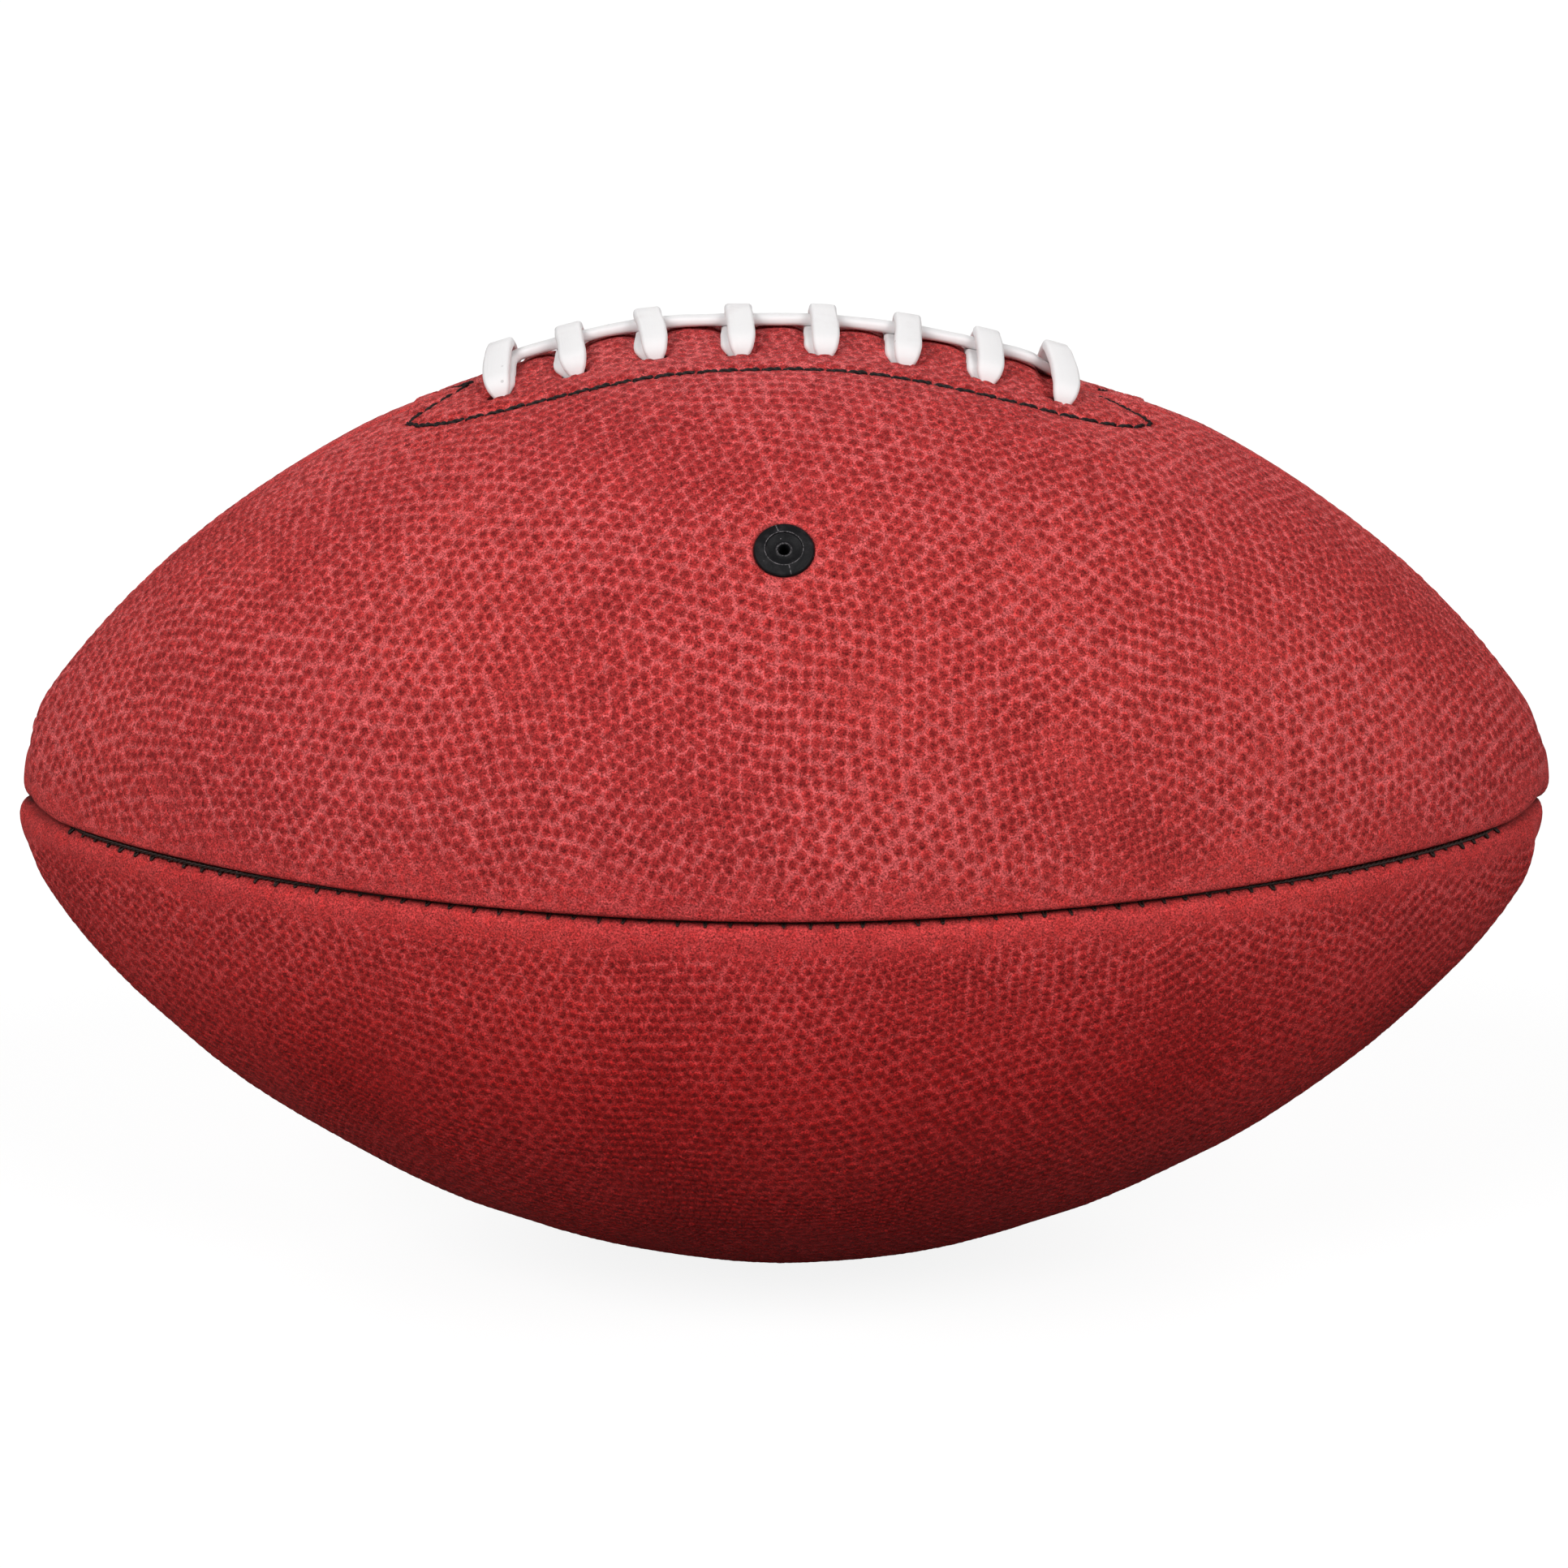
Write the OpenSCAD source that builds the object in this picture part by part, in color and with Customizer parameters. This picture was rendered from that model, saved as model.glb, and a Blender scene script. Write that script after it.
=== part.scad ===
// American football: four leather panels with turned edges, linings, bladder, valve and lacing.
// Origin at the centre of the ball, +X along the long axis, +Z through the lacing, -Y to the valve side.

/* [Ball] */
// Length from tip to tip
ball_len = 280.4; // [276:0.2:288]
// Largest diameter over the leather
ball_dia = 172.8; // [168:0.2:178]
// Thickness of the leather
leather_t = 2.1; // [1.8:0.1:2.3]
// Radius of the rolled edge of a panel at the seams
roll_r = 3; // [2.8:0.1:3.4]
// Length of the turned-in edge below the roll
turn_in = 2.4; // [1:0.1:2.6]
// Thickness of the lining behind each panel
lining_t = 1.3; // [0.8:0.1:1.4]
// Thickness of the bladder wall
bladder_t = 0.9; // [0.6:0.1:1.5]

/* [Lacing] */
// Number of cross bands
bands = 8; // [6:1:8]
// Distance between neighbouring bands
band_pitch = 14.2; // [12.5:0.1:14.6]
// Place of the middle of the lacing along the ball
lacing_x = -0.8; // [-2:0.1:2]
// Width of the lace
lace_w = 5; // [4.4:0.1:5.4]
// Width of the lace where it passes a hole
lace_neck_w = 4.4; // [3.6:0.1:4.6]
// Thickness of the lace
lace_t = 1.3; // [1:0.05:1.4]
// Diameter of the lace holes
hole_d = 6.4; // [6.2:0.1:7]
// Distance of the hole centres from the lacing seam, along the leather
hole_reach = 14.2; // [13.6:0.1:15.5]
// How far the leather lies lower along the lacing
lacing_dip = 2.8; // [1.5:0.1:3.2]

/* [Facing] */
// Half of the length of the facing behind the lacing
facing_half_len = 69; // [67:0.5:71]
// Reach of the facing to each side of the seam
facing_reach = 29; // [27:0.5:30]
// Thickness of the facing
facing_t = 1.2; // [0.8:0.1:1.4]
// Distance between the stitches round the facing
stitch_pitch = 3.7; // [3:0.1:5]
// Diameter of the facing thread
stitch_d = 0.9; // [0.6:0.05:1.1]
// Distance between the cross threads in the seams
seam_pitch = 3.8; // [3.4:0.1:6]

/* [Tongue] */
// Half of the length of the tongue under the lacing
tongue_half_len = 60; // [58:1:62]
// Width of the tongue
tongue_w = 44; // [36:1:46]
// Thickness of the tongue
tongue_t = 1.5; // [1:0.1:2]

/* [Valve] */
// Angle of the valve from the lacing, round the ball
valve_angle = 48.3; // [44:0.1:52]
// Diameter of the visible rubber head
valve_head_d = 10; // [9.2:0.1:11.6]
// Diameter of the neck through the lining
valve_neck_d = 8; // [7.4:0.1:8.6]
// Diameter of the foot inside the bladder
valve_foot_d = 20; // [16:0.5:24]
// Diameter of the core that takes the needle
valve_core_d = 6.2; // [5.6:0.1:6.4]
// Bore for the inflating needle
needle_d = 2; // [1.8:0.05:2.3]
// Length of the core
valve_core_len = 13; // [11:0.5:16]
// Diameter of the patch round the neck
patch_d = 27; // [24:0.5:32]

/* [Hidden] */

// Fineness of true round surfaces
round_fn = 96;
small_fn = 32;
// Overrun of every cut
over = 2;
// Half of the gap between two panels in a seam
seam_gap = 0.15;
// Clearances between neighbouring layers
lining_clear = 0.5;
facing_seat = 0.6;
edge_clear = 0.15;
bladder_clear = 0.5;
flange_clear = 0.75;
// Clearance of a rubber part in its hole
valve_clear = 0.15;
// Clearance of the lace to what it lies on, and between two layers of the lace
lace_seat = 0.25;
lace_gap = 0.46;

// Outline of the ball: the radius falls to a virtual point a little past the real tip
virtual_share = 1.0223;
fullness_share = 1.8415;
point_share = 0.7118;
half_len = ball_len/2;
ball_r = ball_dia/2;
virtual_len = half_len*virtual_share;

// The blunt nose of a panel: rounding length, and the hollow where the four panels meet
nose_len = 1.2;
nose_hollow = 1.4;
nose_first_share = 0.65;
nose_last_share = 0.3;
hollow_first_share = 0.25;
roll_share = 0.38;
flange_end_share = 0.15;
nose_wall_step = 0.12;
nose_inner_t = 0.2;

// Counts of the panel grid: rings along half the body, sides of the roll and of the arc
body_steps = 12;
roll_steps = 3;
arc_steps = 12;
nose_steps = 2;
even_share = 0.35;

// Where the leather dips along the lacing: flat part and run-out, along the ball and across
dip_flat_len = 44;
dip_run_len = 34;
dip_flat_reach = 13;
dip_run_reach = 24;
lacing_turn_in = 0.3;

// Radius of the ball over the leather at a place along its axis
function radius(x) = ball_r*pow(1 - pow(min(abs(x)/virtual_len, 1), fullness_share), point_share);

// Lean of the surface normal towards the near tip, in degrees
lean_step = ball_len/2000;
function lean(x) = atan((radius(x - lean_step) - radius(x + lean_step))/(2*lean_step));

// Smooth step from 0 to 1
function smooth(u) = let(v = min(max(u, 0), 1)) v*v*(3 - 2*v);

// How much lower the leather lies at a place along the ball and across from the lacing seam
function dip_along(x) = 1 - smooth((abs(x) - dip_flat_len)/dip_run_len);
function dip(x, s) = lacing_dip*dip_along(x)*(1 - smooth((abs(s) - dip_flat_reach)/dip_run_reach));

// Angle round the ball of an arc length at a radius
function arc_angle(s, r) = s/r*180/PI;

// Point on or under the leather near the lacing: place along, arc from the seam, inset
function skin(x, s, d = 0) =
    let(r = radius(x), a = lean(x), ri = r - d*cos(a), th = arc_angle(s, r))
    [x - d*sin(a), ri*sin(th), ri*cos(th) - dip(x, s)];

// Rings along the positive half of a panel: place and radius outside, place and radius inside.
// An inner radius of zero marks the solid nose.
nose_x = half_len - nose_len;
nose_lean = lean(nose_x);
nose_r = nose_len/(1 - sin(nose_lean));
nose_tip_r = radius(nose_x) - nose_r*cos(nose_lean);
hollow_end_x = nose_x - leather_t*sin(nose_lean);
function body_x(k) = nose_x*(even_share*k/body_steps + (1 - even_share)*sin(90*k/body_steps));
function body_ring(x) = let(a = lean(x))
    [x, radius(x), x - leather_t*sin(a), radius(x) - leather_t*cos(a)];
function nose_ring(x, r, k) = [x, r, hollow_end_x + k*nose_wall_step, 0];
half_rings = concat(
    [for (k = [1:body_steps]) body_ring(body_x(k))],
    [for (k = [1:nose_steps]) let(a = nose_lean + (90 - nose_lean)*k/nose_steps)
        nose_ring(nose_x + nose_r*(sin(a) - sin(nose_lean)),
            radius(nose_x) - nose_r*(cos(nose_lean) - cos(a)), k)],
    [nose_ring(half_len - nose_hollow*hollow_first_share, nose_tip_r*nose_first_share, nose_steps + 1),
     nose_ring(half_len - nose_hollow, nose_tip_r*nose_last_share, nose_steps + 2)]);
half_count = len(half_rings);
function mirrored(ring) = [-ring[0], ring[1], -ring[2], ring[3]];
rings = concat([for (k = [half_count - 1:-1:0]) mirrored(half_rings[k])],
    [body_ring(0)], half_rings);
ring_total = len(rings);

// Path over a rolled panel edge, the arc and the other rolled edge, in a quarter plane
function roll_along(r, rho, across) = sqrt(pow(r - rho, 2) - pow(across, 2));
function quarter_path(r, rho, plane, end_1, end_2) =
    let(across = plane + rho, along = roll_along(r, rho, across), th = atan2(across, along))
    concat([[end_1, plane]],
        [for (k = [0:roll_steps]) let(f = -90 + (90 + th)*k/roll_steps)
            [along + rho*cos(f), across + rho*sin(f)]],
        [for (k = [1:arc_steps - 1]) let(f = th + (90 - 2*th)*k/arc_steps) [r*cos(f), r*sin(f)]],
        [for (k = [roll_steps:-1:0]) let(f = -90 + (90 + th)*k/roll_steps)
            [across + rho*sin(f), along + rho*cos(f)]],
        [[plane, end_2]]);
path_count = 2*(roll_steps + 1) + arc_steps + 1;
loop_count = 2*path_count;

// One closed ring of a panel. A laced panel dips and has a short turned edge at the lacing.
function panel_ring(ring, laced) =
    let(x = ring[0], r = ring[1], xi = ring[2], ri = ring[3],
        rho = min(roll_r, roll_share*r),
        along = roll_along(r, rho, seam_gap + rho),
        short = laced ? dip_along(x) : 0,
        end_1 = max(along - turn_in*(1 - short) - lacing_turn_in*short, flange_end_share*r),
        end_2 = max(along - turn_in, flange_end_share*r),
        edge = seam_gap + nose_inner_t,
        outer = quarter_path(r, rho, seam_gap, end_1, end_2),
        inner = ri > 0 ? quarter_path(ri, rho - leather_t, seam_gap + leather_t, end_1, end_2)
            : [for (k = [0:path_count - 1]) let(u = k/(path_count - 1))
                [end_1*(1 - u) + edge*u, edge*(1 - u) + end_2*u]],
        drop = function (p) laced ? dip(x, r*atan2(p[1], p[0])*PI/180) : 0)
    concat([for (p = outer) [x, p[1], p[0] - drop(p)]],
        [for (k = [path_count - 1:-1:0]) [xi, inner[k][1], inner[k][0] - drop(inner[k])]]);

// Faces of a solid lofted through closed loops, with caps that pair the two halves of a loop
function loft_sides(loops, n) = [for (k = [0:loops - 2], i = [0:n - 1], t = [0, 1])
    let(a = k*n + i, b = k*n + (i + 1)%n) t == 0 ? [a, b, b + n] : [a, b + n, a + n]];
function loft_cap(base, n, flip) = [for (i = [0:n/2 - 2], t = [0, 1])
    let(a = base + i, b = base + i + 1, c = base + n - 2 - i, d = base + n - 1 - i,
        f = t == 0 ? [a, c, b] : [a, d, c])
    flip ? [f[0], f[2], f[1]] : f];
function loft_faces(loops, n) = concat(loft_sides(loops, n), loft_cap(0, n, false),
    loft_cap((loops - 1)*n, n, true));

// Leather panel on the +Y +Z quarter, as built before it is mirrored into its place
module panel_shell(laced) {
    points = [for (ring = rings) each panel_ring(ring, laced)];
    polyhedron(points, loft_faces(ring_total, loop_count), convexity = 10);
}

// Stations of the lacing
first_x = lacing_x - (bands - 1)/2*band_pitch;
function station_x(i) = first_x + i*band_pitch;

// Crest line of the leather at the lacing seam, its lean and the round of the cross-section
function crest(x) = radius(x) - dip(x, 0);
function crest_lean(x) = atan((crest(x - lean_step) - crest(x + lean_step))/(2*lean_step));
function crest_round(x) = radius(x)/cos(crest_lean(x));

// Point of a station: place along the seam, arc across, height over the leather, all on the normals
function station_point(x, e, s, h) =
    let(a = crest_lean(x), rn = crest_round(x), th = arc_angle(s, rn), z = (rn + h)*cos(th) - rn)
    [x + e*cos(a) + z*sin(a), (rn + h)*sin(th), crest(x) - e*sin(a) + z*cos(a)];
function station_along(x) = [cos(crest_lean(x)), 0, -sin(crest_lean(x))];
function station_normal(x, s) =
    let(a = crest_lean(x), th = arc_angle(s, crest_round(x)))
    [sin(a)*cos(th), sin(th), cos(a)*cos(th)];

// One lace hole through everything between two depths, on the far (1) or near (-1) side
module lace_hole(i, side, bottom, top, d) {
    x = station_x(i);
    a = crest_lean(x);
    rn = crest_round(x);
    translate([x - rn*sin(a), 0, crest(x) - rn*cos(a)])
        rotate([0, a, 0])
        rotate([-side*arc_angle(hole_reach, rn), 0, 0])
        translate([0, 0, rn - bottom])
        cylinder(h = bottom + top, d = d, $fn = small_fn);
}

module lace_holes(side) {
    for (i = [0:bands - 1]) lace_hole(i, side, leather_t + facing_t + over, over, hole_d);
}

// Valve axis: the valve is drawn along +Z with its zero on the leather, then turned into place
module at_valve() {
    rotate([valve_angle, 0, 0]) translate([0, 0, ball_r]) children();
}

valve_hole_d = valve_head_d + 2*valve_clear;

// Leather panels
leather_red = "#b43a3c";
module panel_front_top() {
    color(leather_red) difference() {
        mirror([0, 1, 0]) panel_shell(true);
        lace_holes(-1);
        at_valve() translate([0, 0, -leather_t - over])
            cylinder(h = leather_t + 2*over, d = valve_hole_d, $fn = round_fn);
    }
}

module panel_back_top() {
    color(leather_red) difference() {
        panel_shell(true);
        lace_holes(1);
    }
}

module panel_front_bottom() {
    color(leather_red) mirror([0, 1, 0]) mirror([0, 0, 1]) panel_shell(false);
}

module panel_back_bottom() {
    color(leather_red) mirror([0, 0, 1]) panel_shell(false);
}

// Half outline of the ball, set in by a distance along the normals, for revolving about the long axis
outline_steps = 16;
function inset_point(x, d) = [x - sign(x)*d*sin(abs(lean(x))), radius(x) - d*cos(lean(x))];
function inset_outline(d) = concat([for (k = [-outline_steps:outline_steps])
    inset_point(sign(k)*nose_x*(even_share*abs(k)/outline_steps
        + (1 - even_share)*sin(90*abs(k)/outline_steps)), d)]);

// Solid of revolution inside the leather
module inner_form(d) {
    line = inset_outline(d);
    ends = [[line[len(line) - 1][0], 0], [line[0][0], 0]];
    rotate([0, 90, 0]) rotate_extrude($fn = round_fn)
        polygon([for (p = concat(line, ends)) [p[1], p[0]]]);
}

// Superellipse outline round the lacing: half length, reach across, squareness
function lacing_outline(a, b, n_share, steps) = [for (k = [0:steps - 1]) let(f = 360*k/steps)
    [lacing_x + a*sign(cos(f))*pow(abs(cos(f)), n_share), b*sign(sin(f))*pow(abs(sin(f)), n_share)]];

// Linings: shells between the rolled edges, with the opening for the facing in the upper two
lining_outer = leather_t + lining_clear;
lining_inner = lining_outer + lining_t;
lining_edge = seam_gap + leather_t + flange_clear;
opening_end_margin = 7;
opening_side_margin = 4.5;
opening_half_len = facing_half_len + opening_end_margin;
opening_reach = facing_reach + opening_side_margin;
opening_share = 0.5;
opening_steps = 48;
fabric_white = "#d9d4c8";

module lining_quarter() {
    intersection() {
        difference() {
            inner_form(lining_outer);
            inner_form(lining_inner);
        }
        translate([-half_len, lining_edge, lining_edge]) cube([ball_len, ball_r, ball_r]);
    }
}

module lining_opening() {
    linear_extrude(height = ball_r)
        polygon(lacing_outline(opening_half_len, opening_reach, opening_share, opening_steps));
}

module lining_front_top() {
    color(fabric_white) difference() {
        mirror([0, 1, 0]) lining_quarter();
        lining_opening();
        at_valve() translate([0, 0, -lining_inner - over])
            cylinder(h = lining_t + 2*over, d = valve_neck_d + 2*valve_clear, $fn = round_fn);
    }
}

module lining_back_top() {
    color(fabric_white) difference() {
        lining_quarter();
        lining_opening();
    }
}

module lining_front_bottom() {
    color(fabric_white) mirror([0, 1, 0]) mirror([0, 0, 1]) lining_quarter();
}

module lining_back_bottom() {
    color(fabric_white) mirror([0, 0, 1]) lining_quarter();
}

// Depths under the lacing, counted from the leather
lace_layer = lace_t + lace_gap;
inner_lace_depth = leather_t + facing_seat + facing_t + lace_gap + lace_t/2;
inner_lace_bottom = inner_lace_depth + lace_layer + lace_t/2;
hole_sag = ball_r*(1 - cos(arc_angle(hole_reach, ball_r)));
tongue_depth = inner_lace_bottom + hole_sag + lining_clear;
hollow_depth = tongue_depth + tongue_t + bladder_clear;

// Tongue: a strip that is bent along the ball and flat across it
strip_steps = 20;
module bent_strip(half, top_depth, t, width) {
    xs = [for (k = [0:strip_steps]) lacing_x - half + 2*half*k/strip_steps];
    top = [for (x = xs) [x, crest(x) - top_depth]];
    bottom = [for (k = [strip_steps:-1:0]) [xs[k], crest(xs[k]) - top_depth - t]];
    translate([0, width/2, 0]) rotate([90, 0, 0]) linear_extrude(height = width)
        polygon(concat(top, bottom));
}

module tongue() {
    color("#8d8577") bent_strip(tongue_half_len, tongue_depth, tongue_t, tongue_w);
}

// Bladder: a thin shell, pressed in under the tongue, with a round hole for the valve
bladder_outer = roll_r + turn_in + bladder_clear;
press_margin = 4;
press_flat = tongue_half_len + press_margin;
press_run_share = 0.5;
press_run = press_flat*press_run_share;
press_steps = 40;
module bladder_press(d) {
    half = press_flat + press_run;
    floor_z = function (x) let(u = smooth((abs(x - lacing_x) - press_flat)/press_run))
        crest(x) - hollow_depth*(1 - u) + over*u;
    line = [for (k = [0:press_steps]) let(x = -half + 2*half*k/press_steps) [x, floor_z(x) - d]];
    translate([0, ball_r, 0]) rotate([90, 0, 0]) linear_extrude(height = ball_dia)
        polygon(concat(line, [[half, ball_r + over], [-half, ball_r + over]]));
}

module bladder_form(d) {
    difference() {
        inner_form(bladder_outer + d);
        bladder_press(d);
    }
}

module bladder() {
    color("#26272b") difference() {
        bladder_form(0);
        bladder_form(bladder_t);
        at_valve() translate([0, 0, -bladder_outer - bladder_t - over])
            cylinder(h = bladder_t + 2*over, d = valve_neck_d + 2*valve_clear, $fn = round_fn);
    }
}

// Valve stem: the head in the leather, the neck through lining and bladder, the foot inside
head_rise = 0.4;
head_bevel = 0.9;
head_under = leather_t + edge_clear;
head_taper = 1;
foot_t = 1;
foot_top = bladder_outer + bladder_t + valve_foot_d*valve_foot_d/(8*ball_r) + lining_clear;
core_hole_r = valve_core_d/2 + valve_clear;
rubber = "#262427";
module valve_stem() {
    head_r = valve_head_d/2;
    neck_r = valve_neck_d/2;
    foot_r = valve_foot_d/2;
    color(rubber) at_valve() rotate_extrude($fn = round_fn) polygon([
        [core_hole_r, head_rise], [head_r - head_bevel, head_rise], [head_r, -head_bevel + head_rise],
        [head_r, head_taper - head_under], [neck_r, -head_under], [neck_r, -foot_top],
        [foot_r, -foot_top], [foot_r, -foot_top - foot_t], [core_hole_r, -foot_top - foot_t]]);
}

// Valve core: a plug with a raised ring round the needle bore
core_ring_r = needle_d/2 + head_bevel/2;
core_recess = head_rise/2;
module valve_core() {
    color(rubber) at_valve() difference() {
        rotate_extrude($fn = round_fn) polygon([
            [0, head_rise], [core_ring_r, head_rise], [core_ring_r + core_recess, head_rise - core_recess],
            [valve_core_d/2, head_rise - core_recess], [valve_core_d/2, head_rise - valve_core_len],
            [0, head_rise - valve_core_len]]);
        translate([0, 0, head_rise - valve_core_len - over])
            cylinder(h = valve_core_len + 2*over, d = needle_d, $fn = round_fn);
    }
}

// Patch: a curved round of rubber between lining and bladder
patch_outer = lining_inner + edge_clear;
patch_inner = bladder_outer - edge_clear;
module valve_patch() {
    color("#33353a") intersection() {
        difference() {
            inner_form(patch_outer);
            inner_form(patch_inner);
        }
        at_valve() translate([0, 0, -patch_inner - over]) difference() {
            cylinder(h = patch_inner + over, d = patch_d, $fn = round_fn);
            translate([0, 0, -over])
                cylinder(h = patch_inner + 3*over, d = valve_neck_d + 2*valve_clear, $fn = round_fn);
        }
    }
}

// Facing: a curved D-shaped sheet under the leather on each side of the lacing seam
facing_square = 3.5;
facing_top = leather_t + facing_seat;
facing_edge = seam_gap + leather_t + facing_seat;
facing_steps = 18;
facing_rows = 6;
facing_end_share = 0.975;
function facing_limit(x) = facing_reach
    *pow(1 - pow(min(abs(x - lacing_x)/facing_half_len, 1), facing_square), 1/facing_square);
module facing_sheet() {
    n = 2*(facing_rows + 1);
    xs = [for (k = [0:facing_steps])
        lacing_x - facing_end_share*facing_half_len*cos(180*k/facing_steps)];
    points = [for (x = xs) let(far = facing_limit(x)) each concat(
        [for (j = [0:facing_rows])
            skin(x, facing_edge + (far - facing_edge)*j/facing_rows, facing_top)],
        [for (j = [facing_rows:-1:0])
            skin(x, facing_edge + (far - facing_edge)*j/facing_rows, facing_top + facing_t)])];
    polyhedron(points, loft_faces(facing_steps + 1, n), convexity = 6);
}

module facing_back() {
    color("#6d2a24") difference() {
        facing_sheet();
        lace_holes(1);
    }
}

module facing_front() {
    color("#6d2a24") difference() {
        mirror([0, 1, 0]) facing_sheet();
        lace_holes(-1);
    }
}

// Stitches round the facing: along the curved edge, and from each corner back to the seam
stitch_margin = 2;
stitch_end_margin = 3;
stitch_half_len = facing_half_len - stitch_end_margin;
stitch_reach = facing_reach - stitch_margin;
stitch_corner_share = 0.9758;
stitch_corner = stitch_half_len*stitch_corner_share;
stitch_end_share = 0.8333;
stitch_end = stitch_half_len*stitch_end_share;
stitch_fill_share = 0.76;
stitch_line_steps = 60;
stitch_height = stitch_d/2 + edge_clear;
function stitch_limit(x) = stitch_reach
    *pow(1 - pow(abs(x)/stitch_half_len, facing_square), 1/facing_square);
stitch_line = concat([[-stitch_end, seam_gap + roll_r/2]],
    [for (k = [0:stitch_line_steps]) let(x = -stitch_corner*cos(180*k/stitch_line_steps))
        [x, stitch_limit(x)]],
    [[stitch_end, seam_gap + roll_r/2]]);
stitch_marks = [for (i = 0, d = 0; i < len(stitch_line); i = i + 1,
    d = d + (i < len(stitch_line) ? norm(stitch_line[i] - stitch_line[i - 1]) : 0)) d];
stitch_xs = [for (i = [0:len(stitch_line) - 1]) [stitch_marks[i], stitch_line[i][0]]];
stitch_ss = [for (i = [0:len(stitch_line) - 1]) [stitch_marks[i], stitch_line[i][1]]];
stitch_total = stitch_marks[len(stitch_marks) - 1];
function stitch_point(d) = skin(lacing_x + lookup(d, stitch_xs), lookup(d, stitch_ss), -stitch_height);

// Rod between two points
module rod(a, b, d) {
    v = b - a;
    translate(a) rotate([0, acos(v[2]/norm(v)), atan2(v[1], v[0])])
        cylinder(h = norm(v), d = d, $fn = small_fn);
}

module facing_stitches() {
    count = floor(stitch_total/stitch_pitch);
    for (k = [0:count - 1])
        rod(stitch_point(k*stitch_pitch), stitch_point((k + stitch_fill_share)*stitch_pitch), stitch_d);
}

thread_black = "#231d1e";
module facing_stitch_back() {
    color(thread_black) facing_stitches();
}

module facing_stitch_front() {
    color(thread_black) mirror([0, 1, 0]) facing_stitches();
}

// Seam thread: a flat cord in the valley of a seam and short threads across it
cord_top = 1.2;
cord_bottom = 2.1;
cord_t = 0.4;
cross_depth = 0.95;
cross_d = 0.7;
cross_len = 1.1;
seam_share = 0.913;
seam_reach = half_len*seam_share;
lacing_seam_from = facing_half_len*seam_share;
seam_brown = "#3a1f1a";
ring_table = [for (ring = rings) if (ring[3] > 0) [ring[0], ring[1]]];
dip_table = [for (ring = rings) if (ring[3] > 0) [ring[0], ring[1] - dip(ring[0], 0)]];
function seam_line(x, laced) = lookup(x, laced ? dip_table : ring_table);
function next_cross(x) = x + seam_pitch*cos(lean(x));
module seam_thread(from, to, laced) {
    xs = concat([from], [for (ring = rings) if (ring[0] > from && ring[0] < to) ring[0]], [to]);
    n = len(xs);
    rotate([90, 0, 0]) linear_extrude(height = cord_t, center = true) polygon(concat(
        [for (x = xs) [x, seam_line(x, laced) - cord_top]],
        [for (k = [n - 1:-1:0]) [xs[k], seam_line(xs[k], laced) - cord_bottom]]));
    crosses = [for (x = from + seam_pitch/2; x < to; x = next_cross(x)) x];
    for (x = crosses)
        translate([x, 0, seam_line(x, laced) - cross_depth]) rotate([90, 0, 0])
            cylinder(h = cross_len, d = cross_d, center = true, $fn = small_fn);
}

module seam_thread_front() {
    color(seam_brown) rotate([90, 0, 0]) seam_thread(-seam_reach, seam_reach, false);
}

module seam_thread_back() {
    color(seam_brown) rotate([-90, 0, 0]) seam_thread(-seam_reach, seam_reach, false);
}

module seam_thread_bottom() {
    color(seam_brown) rotate([180, 0, 0]) seam_thread(-seam_reach, seam_reach, false);
}

module seam_thread_lacing_left() {
    color(seam_brown) seam_thread(-seam_reach, -lacing_seam_from, true);
}

module seam_thread_lacing_right() {
    color(seam_brown) seam_thread(lacing_seam_from, seam_reach, true);
}

// Lace: one strap. It makes a row of rungs on the leather, turns back along the seam over them,
// passes inside, and makes a second row of bands over everything.
// Each ring of the strap is [point, direction of its width, width].
bend_r = 1.5;
band_bend_r = bend_r + lace_layer;
low_h = lace_seat + lace_t/2;
mid_h = low_h + lace_layer;
high_h = mid_h + lace_layer;
bend_h = low_h - bend_r;
hole_bottom_h = -inner_lace_depth + bend_r;
bend_s = hole_reach - lace_layer/2 - bend_r;
turn_r = 4;
band_shoulder = lace_w/2 + lace_gap + edge_clear;
band_mid = (bend_s + band_shoulder)/2;

// Bend over the outer rim of a hole, from inside the hole (0) to flat on the leather (90)
function outer_bend(i, side, rr, flat_w, angles) = let(x = station_x(i)) [for (f = angles)
    [station_point(x, 0, side*(bend_s + rr*cos(f)), bend_h + rr*sin(f)), station_along(x),
     lace_neck_w + (flat_w - lace_neck_w)*f/90]];

// Bend under a hole, from inside the hole (0) towards a point on the hole axis of another station
function hole_axis_point(i, side, h) = station_point(station_x(i), 0, side*hole_reach, h);
function unit(v) = v/norm(v);
function run_direction(i, side, j, far) =
    let(n = station_normal(station_x(i), side*hole_reach),
        v = hole_axis_point(j, far, hole_bottom_h) - hole_axis_point(i, side, hole_bottom_h))
    unit(v - (v*n)*n);
function inner_bend(i, side, j, far, rr, angles) =
    let(x = station_x(i), n = station_normal(x, side*hole_reach), dir = run_direction(i, side, j, far),
        w = cross(n, dir), wide = (w*station_along(x) < 0 ? -w : w),
        start = bend_r + lace_layer/2)
    [for (f = angles) [hole_axis_point(i, side, hole_bottom_h) + (start - rr*cos(f))*dir - rr*sin(f)*n,
        wide, lace_neck_w]];

bend_out = [0, 45, 90];
bend_in = [0, 40, 80];
back = function (list) [for (k = [len(list) - 1:-1:0]) list[k]];
half_bend = bend_s/2;

// Straight part over the leather at listed arcs and heights
function over_leather(i, spots) = let(x = station_x(i)) [for (p = spots)
    [station_point(x, 0, p[0], p[1]), station_along(x), lace_w]];

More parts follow.
